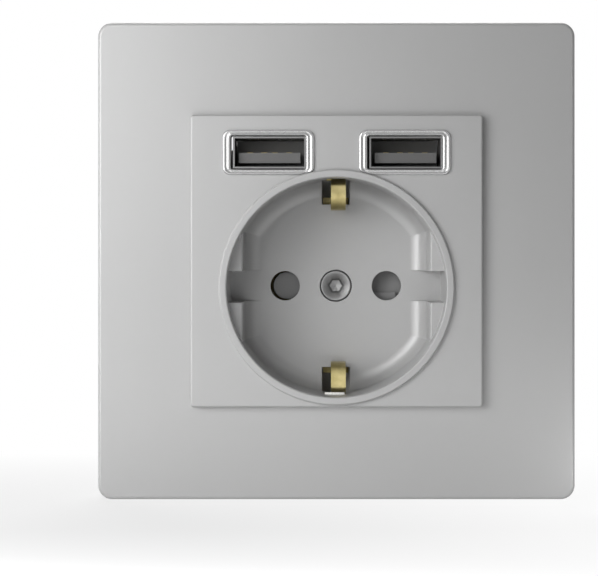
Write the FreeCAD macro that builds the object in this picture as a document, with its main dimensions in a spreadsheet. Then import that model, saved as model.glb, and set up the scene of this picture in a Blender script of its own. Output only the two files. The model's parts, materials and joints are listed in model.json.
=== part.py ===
import FreeCAD, Part
import math
import os

import Sketcher

# Flush-mounted wall socket with an earthed plug recess and two charging ports.
# Millimetres. X to the right, Z up, the front faces -Y. The origin is the middle of the
# outer frame on the wall plane, so everything at Y above zero lies inside the wall box.

doc = FreeCAD.newDocument("WallSocket")
sheet = doc.addObject("Spreadsheet::Sheet", "Sizes")
sheet.Label = "Sizes"

V = FreeCAD.Vector

# Each row is the name of a size, its value and what it measures
SIZES = (
    ("frame_width", 86.0, "outer frame, side of the square"),
    ("frame_depth", 9.5, "outer frame, from the wall to its front"),
    ("frame_wall", 2.0, "outer frame, side wall"),
    ("frame_face", 1.8, "outer frame, thickness of the front"),
    ("frame_corner", 2.5, "outer frame, corner radius"),
    ("frame_edge", 0.6, "outer frame, rounding of the front edge"),
    ("collar_wall", 1.2, "outer frame, wall round the window"),
    ("collar_depth", 3.0, "outer frame, height of that wall and its ribs"),
    ("plate_width", 52.5, "centre plate, side of the square"),
    ("plate_proud", 1.6, "centre plate, height above the frame"),
    ("plate_lap", 0.55, "centre plate, lap over the frame's window"),
    ("plate_thickness", 2.0, "centre plate, thickness of the front"),
    ("plate_corner", 0.6, "centre plate, corner radius"),
    ("plate_edge", 0.35, "centre plate, rounding of the front edge"),
    ("skirt_gap", 0.2, "clearance between the plate's skirt and the window"),
    ("skirt_wall", 1.4, "skirt behind the centre plate, wall"),
    ("skirt_depth", 5.0, "skirt behind the centre plate, depth"),
    ("recess_drop", 4.7, "plug recess, distance of its axis below the middle"),
    ("recess_radius", 19.75, "plug recess, inner radius"),
    ("recess_depth", 17.5, "plug recess, from the rim to the floor"),
    ("cup_wall", 0.95, "plug recess, wall"),
    ("rim_width", 1.4, "raised rim round the recess, width"),
    ("rim_proud", 0.8, "raised rim round the recess, height"),
    ("rim_edge", 0.2, "raised rim round the recess, chamfer of its edges"),
    ("floor_thickness", 2.0, "recess floor, thickness"),
    ("floor_round", 3.2, "recess floor, rounding to the wall"),
    ("rib_spread", 34.0, "guide ribs, distance from flat to flat"),
    ("rib_drop", 4.0, "guide ribs, distance below the rim"),
    ("rib_notch", 5.7, "guide ribs, width of the notch between them"),
    ("rib_edge", 0.25, "guide ribs, chamfer"),
    ("pin_spacing", 19.0, "plug pins, distance apart"),
    ("pin_hole", 5.5, "pin holes in the floor, diameter"),
    ("head_recess", 6.0, "recess for the screw's head, diameter"),
    ("head_recess_depth", 1.85, "recess for the screw's head, depth"),
    ("centre_screw_size", 3.0, "centre screw, thread diameter"),
    ("centre_head", 5.8, "centre screw, head diameter"),
    ("centre_head_height", 1.5, "centre screw, head height"),
    ("centre_dish", 3.1, "centre screw, width of the cone in its head"),
    ("centre_dish_depth", 1.1, "centre screw, depth of the cone in its head"),
    ("centre_screw_length", 13.0, "centre screw, shank below the head"),
    ("screw_gap", 0.15, "radial clearance of a screw in a plain hole"),
    ("thread_gap", 0.05, "radial clearance of a screw in its thread"),
    ("hub_radius", 3.2, "bush behind the floor that the shutter turns on, radius"),
    ("window_width", 5.2, "earth windows in the floor, width"),
    ("window_reach", 4.5, "earth windows in the floor, reach in from the wall"),
    ("notch_width", 3.7, "slot in the recess wall for an earth clip, width"),
    ("notch_drop", 7.8, "slot in the recess wall, distance below the rim"),
    ("port_spacing", 24.5, "charging ports, distance between their middles"),
    ("port_height", 19.5, "charging ports, height above the frame's middle"),
    ("port_width", 13.8, "port opening, width"),
    ("port_rise", 6.0, "port opening, height"),
    ("bezel_width", 16.5, "port bezel, width"),
    ("bezel_rise", 8.1, "port bezel, height"),
    ("bezel_proud", 0.5, "port bezel, height above the plate"),
    ("bezel_corner", 1.45, "port bezel, corner radius"),
    ("bezel_edge", 0.3, "port bezel, rounding of its outer edge"),
    ("bezel_groove", 0.35, "port bezel, width of the groove round it"),
    ("bezel_groove_depth", 0.2, "port bezel, depth of the groove round it"),
    ("bezel_lip", 0.45, "port bezel, width of the lip inside the groove"),
    ("bezel_chamfer", 0.12, "port bezel, chamfer of the lip and the groove"),
    ("bezel_collar", 0.45, "port bezel, wall of the collar in the plate"),
    ("bezel_gap", 0.1, "clearance between the collar and its hole"),
    ("shell_width", 12.5, "port shell, inner width"),
    ("shell_rise", 5.12, "port shell, inner height"),
    ("shell_wall", 0.3, "port shell, sheet thickness"),
    ("shell_length", 10.9, "port shell, length"),
    ("shell_inset", 0.2, "port shell, distance behind the plate's front"),
    ("shell_shift", 0.2, "port shell, play to the right in its opening"),
    ("tongue_width", 11.1, "port tongue, width"),
    ("tongue_rise", 1.84, "port tongue, thickness"),
    ("tongue_drop", 0.92, "port tongue, distance below the shell's middle"),
    ("tongue_inset", 1.6, "port tongue, distance behind the shell's front"),
    ("plug_block", 2.2, "port insulator, thickness of its rear block"),
    ("strip_width", 1.0, "port contact strip, width"),
    ("strip_thickness", 0.2, "port contact strip, thickness"),
    ("strip_proud", 0.05, "port contact strip, height above the tongue"),
    ("strip_inner", 1.0, "port contact strips, inner pair from the middle"),
    ("strip_outer", 3.5, "port contact strips, outer pair from the middle"),
    ("strip_tail", 1.9, "port contact strip, length behind the shell"),
    ("board_thickness", 1.2, "port board, thickness"),
    ("board_half_width", 18.5, "port board, half width"),
    ("board_bottom", 16.4, "port board, lower edge above the middle"),
    ("board_top", 22.3, "port board, upper edge above the middle"),
    ("board_cut", 4.6, "port board, cut at its upper corners"),
    ("yoke_room", 5.5, "yoke, distance inside the frame's side walls"),
    ("yoke_thickness", 1.2, "yoke, sheet thickness"),
    ("yoke_corner", 4.0, "yoke, corner radius"),
    ("yoke_opening_half", 21.5, "yoke opening, half width"),
    ("yoke_opening_top", 24.6, "yoke opening, top edge above the middle"),
    ("yoke_opening_bottom", 26.0, "yoke opening, lower edge below the middle"),
    ("box_spacing", 60.0, "wall box screws, distance apart"),
    ("box_slot_width", 3.8, "slots for the wall box screws, width"),
    ("box_slot_length", 5.0, "slots for the wall box screws, length"),
    ("tab_offset", 5.4, "snap tabs, distance from the middle"),
    ("tab_width", 3.4, "snap tabs, width"),
    ("tab_thickness", 1.0, "snap tabs and claw lugs, thickness"),
    ("tab_length", 8.5, "snap tabs, length behind the wall plane"),
    ("nose_width", 1.8, "snap noses on the housing, width"),
    ("nose_length", 2.4, "snap noses on the housing, length"),
    ("nose_height", 0.85, "snap noses on the housing, height"),
    ("nose_start", 4.3, "snap noses, distance behind the wall plane"),
    ("fit_gap", 0.1, "clearance of parts that seat in one another"),
    ("housing_round", 1.0, "housing, reach of its round corners past the upper flat"),
    ("housing_wall", 1.6, "housing, round wall"),
    ("flat_wall", 1.4, "housing, flat walls"),
    ("screw_head_room", 1.2, "housing, room between a clamp screw's head and the lower flat"),
    ("housing_depth", 30.0, "housing, depth behind the wall plane"),
    ("deck_front", 13.0, "contact deck, front face behind the wall plane"),
    ("deck_thickness", 2.0, "contact deck, thickness"),
    ("boss_radius", 3.4, "boss behind the deck for the centre screw, radius"),
    ("boss_length", 6.0, "boss behind the deck, length"),
    ("post_offset", 17.8, "posts for the power board, distance from the middle"),
    ("post_radius", 2.2, "posts for the power board, radius"),
    ("rear_cover_thickness", 1.8, "rear cover, thickness"),
    ("cover_screw_size", 2.6, "rear cover screws, thread diameter"),
    ("cover_screw_length", 10.0, "rear cover screws, length below the head"),
    ("cover_head", 4.6, "rear cover screws, head diameter"),
    ("cover_head_height", 1.2, "rear cover screws, head height"),
    ("wire_entry", 3.8, "wire entries in the rear cover, diameter"),
    ("vent_width", 1.4, "vents in the rear cover, width"),
    ("vent_length", 11.0, "vents in the rear cover, length"),
    ("vent_pitch", 3.2, "vents in the rear cover, distance apart"),
    ("play", 0.3, "running clearance in front of and behind the shutter"),
    ("shutter_thickness", 2.5, "shutter, thickness"),
    ("shutter_hub", 4.6, "shutter, radius round its bush"),
    ("shutter_bore_gap", 0.08, "shutter, radial clearance on its bush"),
    ("left_wing_reach", 9.2, "shutter's left wing, middle of its round end"),
    ("left_wing_width", 5.0, "shutter's left wing, width"),
    ("right_wing_reach", 9.7, "shutter's right wing, middle of its round end"),
    ("right_wing_width", 6.2, "shutter's right wing, width"),
    ("ledge_drop", 1.3, "ledge on the right wing, distance below its middle"),
    ("ledge_height", 0.8, "ledge on the right wing, height"),
    ("finger_x", 2.9, "shutter's finger for the spring, distance right of the axis"),
    ("finger_width", 1.2, "shutter's finger and the spring's post, width"),
    ("finger_reach", 8.2, "shutter's finger and the spring's post, height above the axis"),
    ("spring_post_x", 5.0, "spring's post, distance left of the axis"),
    ("spring_rise", 2.2, "shutter spring, height of its folds"),
    ("spring_sheet", 0.2, "shutter spring, thickness"),
    ("retainer_radius", 15.0, "shutter retainer, radius"),
    ("retainer_thickness", 1.4, "shutter retainer, thickness"),
    ("pin_passage", 3.1, "pin holes behind the shutter, radius"),
    ("strap_thickness", 0.8, "earth strap, thickness of its base"),
    ("strap_width", 4.8, "earth strap, width of its base"),
    ("clip_width", 2.7, "earth clips, width"),
    ("clip_thickness", 0.5, "earth clips, thickness"),
    ("clip_shift", 0.4, "earth clips, distance right of the middle"),
    ("clip_tab_width", 3.5, "earth clips, width of the end in the wall slot"),
    ("clip_root", 16.2, "earth clips, distance of their root from the axis"),
    ("clip_nose", 14.6, "earth clips, distance of their bow from the axis"),
    ("clip_bend", 2.4, "earth clips, bend radius of the bow"),
    ("sleeve_bore", 4.9, "contact sleeves, inner diameter"),
    ("sleeve_wall", 0.65, "contact sleeves, wall"),
    ("sleeve_length", 13.0, "contact sleeves, length"),
    ("sleeve_lead", 2.6, "contact sleeves, length in front of the deck's back"),
    ("sleeve_slit", 1.0, "contact sleeves, width of the slits"),
    ("collar_radius", 4.4, "contact sleeves, radius of the seating collar"),
    ("leaf_thickness", 0.8, "contact collar, leaf and tab, thickness"),
    ("leaf_width", 5.0, "terminal leaf, width"),
    ("terminal_spacing", 11.0, "wire clamps, distance apart"),
    ("leaf_height", 14.2, "terminal leaves, top face below the middle"),
    ("clamp_start", 19.5, "wire clamps, front face behind the wall plane"),
    ("clamp_length", 8.0, "wire clamps, length"),
    ("clamp_width", 7.4, "wire clamps, width"),
    ("clamp_wall", 0.9, "wire clamps, side and top wall"),
    ("clamp_window", 4.8, "wire clamps, height of the window"),
    ("clamp_block", 2.8, "wire clamps, thickness of the threaded side"),
    ("clamp_screw_size", 3.5, "clamp screws, thread diameter"),
    ("clamp_head", 4.8, "clamp screws, head diameter"),
    ("clamp_head_height", 1.8, "clamp screws, head height"),
    ("clamp_screw_length", 4.3, "clamp screws, length below the head"),
    ("clamp_screw_drop", 22.6, "clamp screws, underside of the head below the middle"),
    ("screw_access", 5.2, "holes in the housing for the clamp screws, diameter"),
    ("barrier_thickness", 1.0, "barriers between the clamps, thickness"),
    ("power_board_front", 28.0, "power board, front face behind the wall plane"),
    ("power_board_thickness", 1.6, "power board, thickness"),
    ("power_board_gap", 0.5, "power board, clearance inside the housing"),
    ("power_board_bottom", 8.2, "power board, lower edge below the middle"),
    ("link_pin_pitch", 2.54, "pins between the boards, distance apart"),
    ("link_pin_width", 0.64, "pins between the boards, width"),
    ("link_pin_height", 21.2, "pins between the boards, height above the middle"),
    ("spacer_length", 2.5, "pin header's plastic strip, length"),
    ("core_x", -0.5, "transformer, distance right of the middle"),
    ("core_z", 8.5, "transformer, height above the middle"),
    ("core_width", 14.0, "transformer core, width"),
    ("core_thickness", 6.0, "transformer core, thickness"),
    ("core_height", 11.5, "transformer core, height on the board"),
    ("core_leg", 2.0, "transformer core, thickness of its legs"),
    ("coil_gap", 0.2, "transformer winding, clearance in the core"),
    ("coil_rise", 14.0, "transformer winding, length"),
    ("coil_pin", 0.7, "transformer winding, width of its pins"),
    ("input_capacitor_x", -14.0, "input capacitor, distance right of the middle"),
    ("input_capacitor_z", 11.0, "input capacitor, height above the middle"),
    ("input_can_width", 8.0, "input capacitor, diameter"),
    ("input_can_height", 12.0, "input capacitor, height on the board"),
    ("output_capacitor_upper_x", 11.2, "upper output capacitor, distance right of the middle"),
    ("output_capacitor_upper_z", 13.5, "upper output capacitor, height above the middle"),
    ("output_capacitor_lower_x", 11.2, "lower output capacitor, distance right of the middle"),
    ("output_capacitor_lower_z", 6.0, "lower output capacitor, height above the middle"),
    ("output_can_width", 6.3, "output capacitors, diameter"),
    ("output_can_height", 9.0, "output capacitors, height on the board"),
    ("choke_x", -14.3, "choke, distance right of the middle"),
    ("choke_z", 2.6, "choke, height above the middle"),
    ("choke_width", 6.0, "choke, diameter"),
    ("choke_height", 8.0, "choke, height on the board"),
    ("choke_flange", 1.0, "choke, thickness of its flanges"),
    ("choke_core", 2.8, "choke, diameter of its core"),
    ("choke_margin", 0.2, "choke, depth of the winding below the flanges' edge"),
    ("bridge_rectifier_x", -11.0, "bridge rectifier, distance right of the middle"),
    ("bridge_rectifier_z", 19.5, "bridge rectifier, height above the middle"),
    ("bridge_rectifier_width", 4.8, "bridge rectifier, width"),
    ("bridge_rectifier_rise", 3.8, "bridge rectifier, length"),
    ("bridge_rectifier_height", 2.4, "bridge rectifier, height on the board"),
    ("controller_chip_x", 10.45, "controller chip, distance right of the middle"),
    ("controller_chip_z", 19.65, "controller chip, height above the middle"),
    ("controller_chip_width", 4.9, "controller chip, width"),
    ("controller_chip_rise", 3.5, "controller chip, length"),
    ("controller_chip_height", 1.6, "controller chip, height on the board"),
    ("suppressor_x", 18.1, "suppression capacitor, distance right of the middle"),
    ("suppressor_z", 9.7, "suppression capacitor, height above the middle"),
    ("suppressor_width", 7.0, "suppression capacitor, diameter"),
    ("suppressor_thickness", 2.6, "suppression capacitor, thickness"),
    ("suppressor_height", 7.7, "suppression capacitor, height on the board"),
    ("suppressor_leg", 0.5, "suppression capacitor, width of its legs"),
    ("fuse_length", 8.0, "fuse resistor, length"),
    ("fuse_width", 2.8, "fuse resistor, diameter"),
    ("fuse_height", 1.7, "fuse resistor, height of its middle on the board"),
    ("fuse_lead", 0.7, "fuse resistor, width of its leads"),
    ("claw_width", 10.0, "claws, width"),
    ("claw_sheet", 1.4, "claws, sheet thickness"),
    ("claw_pivot_x", 27.3, "claw pivots, distance from the middle"),
    ("claw_pivot_y", 3.6, "claw pivots, distance behind the wall plane"),
    ("claw_slot", 4.4, "slot between a claw's prongs, width"),
    ("claw_bridge", 3.7, "bridge that joins a claw's prongs, length"),
    ("claw_knee_x", 24.8, "claw's bend, distance from the middle"),
    ("claw_knee_y", 10.0, "claw's bend, distance behind the wall plane"),
    ("claw_tip_x", 28.6, "claw's rear end, distance from the middle"),
    ("claw_tip_y", 20.0, "claw's rear end, distance behind the wall plane"),
    ("trunnion_radius", 1.12, "claw trunnions, radius"),
    ("trunnion_gap", 0.08, "claw trunnions, radial clearance in the lugs"),
    ("lug_gap", 0.4, "clearance between a claw and its lugs"),
    ("lug_inner", 25.3, "claw lugs, inner edge from the middle"),
    ("lug_outer", 29.1, "claw lugs, outer edge from the middle"),
    ("lug_length", 6.2, "claw lugs, length behind the wall plane"),
    ("claw_screw_x", 24.8, "claw screws, distance from the middle"),
    ("claw_screw_size", 3.0, "claw screws, thread diameter"),
    ("claw_head", 5.2, "claw screws, head diameter"),
    ("claw_head_height", 2.0, "claw screws, head height"),
    ("claw_screw_end", 24.0, "claw screws, tip behind the wall plane"),
    ("nut_width", 4.0, "wedge nuts, width across the housing's flat"),
    ("nut_rise", 7.0, "wedge nuts, height"),
    ("nut_length", 3.0, "wedge nuts, length along the screw"),
    ("nut_start", 19.2, "wedge nuts, front face behind the wall plane"),
)


class Size:
    """A length that carries its value and the sheet formula that gives it."""

    def __init__(self, value, formula):
        self.value = value
        self.formula = formula

    def join(self, sign, other, value):
        return Size(value, "(%s %s %s)" % (self.formula, sign, other.formula))

    def __add__(self, other):
        other = as_size(other)
        return self.join("+", other, self.value + other.value)

    def __sub__(self, other):
        other = as_size(other)
        return self.join("-", other, self.value - other.value)

    def __mul__(self, other):
        other = as_size(other)
        return self.join("*", other, self.value * other.value)

    def __truediv__(self, other):
        other = as_size(other)
        return self.join("/", other, self.value / other.value)

    def __radd__(self, other):
        return as_size(other) + self

    def __rsub__(self, other):
        return as_size(other) - self

    def __rmul__(self, other):
        return as_size(other) * self

    def __neg__(self):
        return Size(-self.value, "(-%s)" % self.formula)


def as_size(number):
    if isinstance(number, Size):
        return number
    return Size(float(number), "(%s)" % repr(float(number)))


def root(size):
    return Size(math.sqrt(size.value), "sqrt(%s)" % size.formula)


def fill_sheet():
    """Write every size into the sheet and hand back one Size for each name."""
    named = {}
    for row, (name, value, note) in enumerate(SIZES, start=1):
        sheet.set("A%d" % row, note)
        sheet.set("B%d" % row, repr(value))
        sheet.setAlias("B%d" % row, name)
        named[name] = Size(value, "Sizes." + name)
    doc.recompute()
    return named


S = fill_sheet()

# Levels along Y, from the front to the back
frame_front = -S["frame_depth"]
plate_front = frame_front - S["plate_proud"]
plate_back = plate_front + S["plate_thickness"]
rim_front = plate_front - S["rim_proud"]
rib_front = rim_front + S["rib_drop"]
notch_front = rim_front + S["notch_drop"]
floor_front = rim_front + S["recess_depth"]
floor_back = floor_front + S["floor_thickness"]
shutter_front = floor_back + S["play"]
shutter_back = shutter_front + S["shutter_thickness"]
hub_end = shutter_back + S["play"]
retainer_back = hub_end + S["retainer_thickness"]
deck_front = S["deck_front"]
strap_front = deck_front - S["strap_thickness"]
deck_back = deck_front + S["deck_thickness"]
shell_front = plate_front + S["shell_inset"]
shell_back = shell_front + S["shell_length"]
board_front = shell_back
board_back = board_front + S["board_thickness"]
power_front = S["power_board_front"]
power_back = power_front + S["power_board_thickness"]
housing_back = S["housing_depth"]
cover_back = housing_back + S["rear_cover_thickness"]
yoke_front = -S["yoke_thickness"]

# The housing's outline, inside its claws and round its clamp screws
flat_half_width = S["claw_screw_x"] - S["nut_width"] / 2 - S["play"]
screw_end = S["clamp_screw_drop"] + S["clamp_head_height"]
flat_half_rise = screw_end + S["screw_head_room"] + S["flat_wall"]
housing_radius = flat_half_rise + S["housing_round"]
inner_radius = housing_radius - S["housing_wall"]
inner_half_width = flat_half_width - S["flat_wall"]
inner_half_rise = flat_half_rise - S["flat_wall"]

# Places across the front
recess_z = -S["recess_drop"]
pin_x = S["pin_spacing"] / 2
window_half = S["plate_width"] / 2 - S["plate_lap"]
skirt_half = window_half - S["skirt_gap"]
cup_radius = S["recess_radius"] + S["cup_wall"]
rim_radius = S["recess_radius"] + S["rim_width"]
port_x = S["port_spacing"] / 2
port_z = S["port_height"]
tongue_z = port_z - S["tongue_drop"]
tongue_top = tongue_z + S["tongue_rise"] / 2
ZERO = as_size(0)
NEAR = 1e-4

pieces = []


def keep(thing, name):
    """Name a finished sub-part."""
    thing.Label = name
    pieces.append((name, thing))
    return thing


def tie(thing, prop, size):
    """Bind one property of an object to the sheet."""
    thing.setExpression(prop, as_size(size).formula)


class Outline:
    """Draws closed shapes in a sketch and ties each of their sizes to the sheet."""

    def __init__(self, sketch):
        self.sketch = sketch
        self.count = 0

    def tied(self, kind, *args):
        size = as_size(args[-1])
        number = self.sketch.addConstraint(Sketcher.Constraint(kind, *args[:-1], size.value))
        self.count += 1
        name = "size%d" % self.count
        self.sketch.renameConstraint(number, name)
        self.sketch.setExpression("Constraints." + name, size.formula)

    def circle(self, x, y, radius):
        x, y, radius = as_size(x), as_size(y), as_size(radius)
        centre = V(x.value, y.value, 0)
        ring = self.sketch.addGeometry(Part.Circle(centre, V(0, 0, 1), radius.value))
        self.tied("DistanceX", -1, 1, ring, 3, x)
        self.tied("DistanceY", -1, 1, ring, 3, y)
        self.tied("Radius", ring, radius)

    def path(self, corners, arcs=None, closed=True):
        """Lines through the corners. arcs maps the number of a round side to its centre."""
        arcs = arcs or {}
        corners = [(as_size(x), as_size(y)) for x, y in corners]
        count = len(corners) if closed else len(corners) - 1
        sides = []
        for side in range(count):
            ax, ay = corners[side]
            bx, by = corners[(side + 1) % len(corners)]
            start, end = V(ax.value, ay.value, 0), V(bx.value, by.value, 0)
            if side in arcs:
                sides.append(self.arc(start, end, arcs[side]))
            else:
                line = self.sketch.addGeometry(Part.LineSegment(start, end))
                sides.append((line, 1, 2))
        for side in range(count if closed else count - 1):
            here, after = sides[side], sides[(side + 1) % count]
            self.sketch.addConstraint(
                Sketcher.Constraint("Coincident", here[0], here[2], after[0], after[1]))
        for side, (x, y) in enumerate(corners):
            last = side == count
            line, first, second = sides[side - 1] if last else sides[side]
            self.tied("DistanceX", -1, 1, line, second if last else first, x)
            self.tied("DistanceY", -1, 1, line, second if last else first, y)

    def arc(self, start, end, centre):
        """An arc that turns the short way from start to end, a half circle counter-clockwise."""
        x, y = as_size(centre[0]), as_size(centre[1])
        middle = V(x.value, y.value, 0)
        circle = Part.Circle(middle, V(0, 0, 1), start.distanceToPoint(middle))
        a = math.atan2(start.y - middle.y, start.x - middle.x)
        b = math.atan2(end.y - middle.y, end.x - middle.x)
        forward = (b - a) % (2 * math.pi) < math.pi + NEAR
        first, second = (a, b) if forward else (b, a)
        curve = self.sketch.addGeometry(Part.ArcOfCircle(circle, first, second))
        # Its ends are tied elsewhere, so one coordinate of its centre is all that is left
        if abs(end.y - start.y) > abs(end.x - start.x):
            self.tied("DistanceX", -1, 1, curve, 3, x)
        else:
            self.tied("DistanceY", -1, 1, curve, 3, y)
        return (curve, 1, 2) if forward else (curve, 2, 1)

    def rectangle(self, x0, y0, x1, y1):
        self.path([(x0, y0), (x1, y0), (x1, y1), (x0, y1)])


def new_body(name):
    body = doc.addObject("PartDesign::Body", name)
    return body


def sketch_on(body, role, offset):
    """A sketch on one of the body's own origin planes, moved along its normal."""
    sketch = body.newObject("Sketcher::SketchObject", body.Name + "_sketch")
    plane = [item for item in body.Origin.OriginFeatures if item.Role == role][0]
    sketch.AttachmentSupport = [(plane, "")]
    sketch.MapMode = "FlatFace"
    tie(sketch, "AttachmentOffset.Base.z", offset)
    return sketch


def add_feature(body, kind, role, offset, length, draw):
    sketch = sketch_on(body, role, offset)
    draw(Outline(sketch))
    feature = body.newObject("PartDesign::" + kind, "%s_%s" % (body.Name, kind.lower()))
    feature.Profile = sketch
    tie(feature, "Length", length)
    doc.recompute()
    return feature


def pad(body, y_front, y_back, draw):
    """Add material between two levels of Y. The XZ plane's normal points to the front."""
    return add_feature(body, "Pad", "XZ_Plane", -as_size(y_back), y_back - y_front, draw)


def pocket(body, y_front, y_back, draw):
    """Cut between two levels of Y, from the front one."""
    return add_feature(body, "Pocket", "XZ_Plane", -as_size(y_front), y_back - y_front, draw)


def dress(body, kind, prop, size, chosen):
    """Fillet or chamfer the edges of the body that a test picks."""
    doc.recompute()
    tip = body.Tip
    names = []
    for number, edge in enumerate(tip.Shape.Edges, start=1):
        if chosen(edge):
            names.append("Edge%d" % number)
    if not names:
        raise ValueError("no edge of %s to dress" % body.Name)
    feature = body.newObject("PartDesign::" + kind, "%s_%s" % (body.Name, kind.lower()))
    feature.Base = (tip, names)
    tie(feature, prop, size)
    doc.recompute()
    return feature


def all_at(edge, axis, level):
    """True where every point of an edge's box has the same coordinate on one axis."""
    box = edge.BoundBox
    low, high = {"x": (box.XMin, box.XMax), "y": (box.YMin, box.YMax), "z": (box.ZMin, box.ZMax)}[axis]
    level = as_size(level).value
    return abs(low - level) < NEAR and abs(high - level) < NEAR


def along_y(edge):
    box = edge.BoundBox
    return box.XLength < NEAR and box.ZLength < NEAR and box.YLength > NEAR


def corner_edge(half_x, half_z, middle_z=0):
    """A test for edges along Y at the corners of an upright rectangle."""
    half_x, half_z = as_size(half_x).value, as_size(half_z).value
    middle_z = as_size(middle_z).value

    def test(edge):
        box = edge.BoundBox
        across = abs(abs(box.XMin) - half_x) < NEAR
        up = abs(abs(box.ZMin - middle_z) - half_z) < NEAR
        return along_y(edge) and across and up

    return test


def place(thing, x, y, z):
    tie(thing, "Placement.Base.x", x)
    tie(thing, "Placement.Base.y", y)
    tie(thing, "Placement.Base.z", z)
    return thing


def block(name, x, y, z):
    """A box between pairs of X, Y and Z."""
    box = doc.addObject("Part::Box", name)
    x, y, z = [(as_size(low), as_size(high)) for low, high in (x, y, z)]
    tie(box, "Length", x[1] - x[0])
    tie(box, "Width", y[1] - y[0])
    tie(box, "Height", z[1] - z[0])
    return place(box, x[0], y[0], z[0])


def rod(name, axis, start, end, across, radius):
    """A cylinder along an axis, with its middle line at the two other coordinates."""
    thing = doc.addObject("Part::Cylinder", name)
    tie(thing, "Radius", radius)
    tie(thing, "Height", as_size(end) - start)
    if axis == "x":
        thing.Placement = FreeCAD.Placement(V(), FreeCAD.Rotation(V(0, 1, 0), 90))
        return place(thing, start, across[0], across[1])
    if axis == "y":
        thing.Placement = FreeCAD.Placement(V(), FreeCAD.Rotation(V(1, 0, 0), -90))
        return place(thing, across[0], start, across[1])
    return place(thing, across[0], across[1], start)


def fuse(name, *things):
    result = doc.addObject("Part::MultiFuse", name)
    result.Shapes = list(things)
    return result


def common(name, *things):
    result = doc.addObject("Part::MultiCommon", name)
    result.Shapes = list(things)
    return result


def cut(name, base, *tools):
    result = doc.addObject("Part::Cut", name)
    result.Base = base
    result.Tool = tools[0] if len(tools) == 1 else fuse(name + "_tools", *tools)
    return result


def mirrored(name, source, normal=(1, 0, 0), base_z=0):
    result = doc.addObject("Part::Mirroring", name)
    result.Source = source
    result.Normal = V(*normal)
    tie(result, "Base.z", base_z)
    return result


def group(name, *things):
    """Several separate solids in one sub-part."""
    result = doc.addObject("Part::Compound", name)
    result.Links = list(things)
    return result


def make_outer_frame():
    half = S["frame_width"] / 2
    inner = half - S["frame_wall"]
    collar = window_half + S["collar_wall"]
    face_back = frame_front + S["frame_face"]
    collar_back = face_back + S["collar_depth"]
    rib_half = S["collar_wall"] / 2
    body = new_body("outer_frame")
    pad(body, frame_front, ZERO, lambda o: o.rectangle(-half, -half, half, half))
    dress(body, "Fillet", "Radius", S["frame_corner"], corner_edge(half, half))
    dress(body, "Fillet", "Radius", S["frame_edge"], lambda e: all_at(e, "y", frame_front))
    # The hollow behind the face, cut from the wall side round the collar of the window
    pocket(body, face_back, ZERO, lambda o: o.rectangle(-inner, -inner, inner, inner))
    pad(body, face_back, collar_back, lambda o: o.rectangle(-collar, -collar, collar, collar))

    def stiffeners(o):
        for side in (-1, 1):
            for place_x in (-1, 1):
                middle = place_x * window_half / 2
                inside = side * (collar - rib_half)
                outside = side * (inner + rib_half)
                o.rectangle(middle - rib_half, inside, middle + rib_half, outside)
                o.rectangle(inside, middle - rib_half, outside, middle + rib_half)

    pad(body, face_back, collar_back, stiffeners)
    pocket(body, frame_front, collar_back,
           lambda o: o.rectangle(-window_half, -window_half, window_half, window_half))
    return keep(body, "outer_frame")


def quarter_round(radius):
    """The steps of a rounded corner: distance from the wall and height above the floor."""
    angles = [math.radians(15 * step) for step in range(7)]
    return [(radius * (1 - math.cos(angle)), radius * (1 - math.sin(angle))) for angle in angles]


def make_plug_room():
    """The room that the plug fills: turned, then kept between two flats below the ribs."""
    radius, flat = S["recess_radius"], S["rib_spread"] / 2
    rim_edge, rib_edge = S["rim_edge"], S["rib_edge"]
    beyond = radius + 1
    foot = quarter_round(S["floor_round"])
    body = new_body("plug_room")
    sketch = sketch_on(body, "YZ_Plane", ZERO)
    tie(sketch, "AttachmentOffset.Base.y", recess_z)
    round_wall = [(floor_front - rise, radius - reach) for reach, rise in foot]
    Outline(sketch).path([(rim_front, ZERO), (rim_front, radius + rim_edge), (rim_front + rim_edge, radius)]
                         + round_wall + [(floor_front, ZERO)])
    turned = body.newObject("PartDesign::Revolution", "plug_room_revolution")
    turned.Profile = sketch
    turned.ReferenceAxis = (sketch, ["H_Axis"])
    doc.recompute()

    def outside_flats(o):
        for side in (-1, 1):
            flat_wall = [(side * (flat - reach), floor_front - rise) for reach, rise in foot]
            o.path([(side * (flat + rib_edge), rib_front), (side * flat, rib_front + rib_edge)]
                   + flat_wall + [(side * beyond, floor_front), (side * beyond, rib_front)])

    add_feature(body, "Pocket", "XY_Plane", recess_z + beyond, 2 * beyond, outside_flats)
    return body


def rib_notches(o):
    """The notch in the middle of each guide rib, out to the round wall."""
    near = S["rib_spread"] / 2 - S["floor_round"]
    notch = S["rib_notch"] / 2
    radius = S["recess_radius"]
    deep = root(radius * radius - notch * notch)
    top, low = recess_z + notch, recess_z - notch
    middle = (0, recess_z)
    o.path([(deep, low), (deep, top), (near, top), (near, low)], {0: middle})
    o.path([(-deep, top), (-deep, low), (-near, low), (-near, top)], {0: middle})


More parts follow.
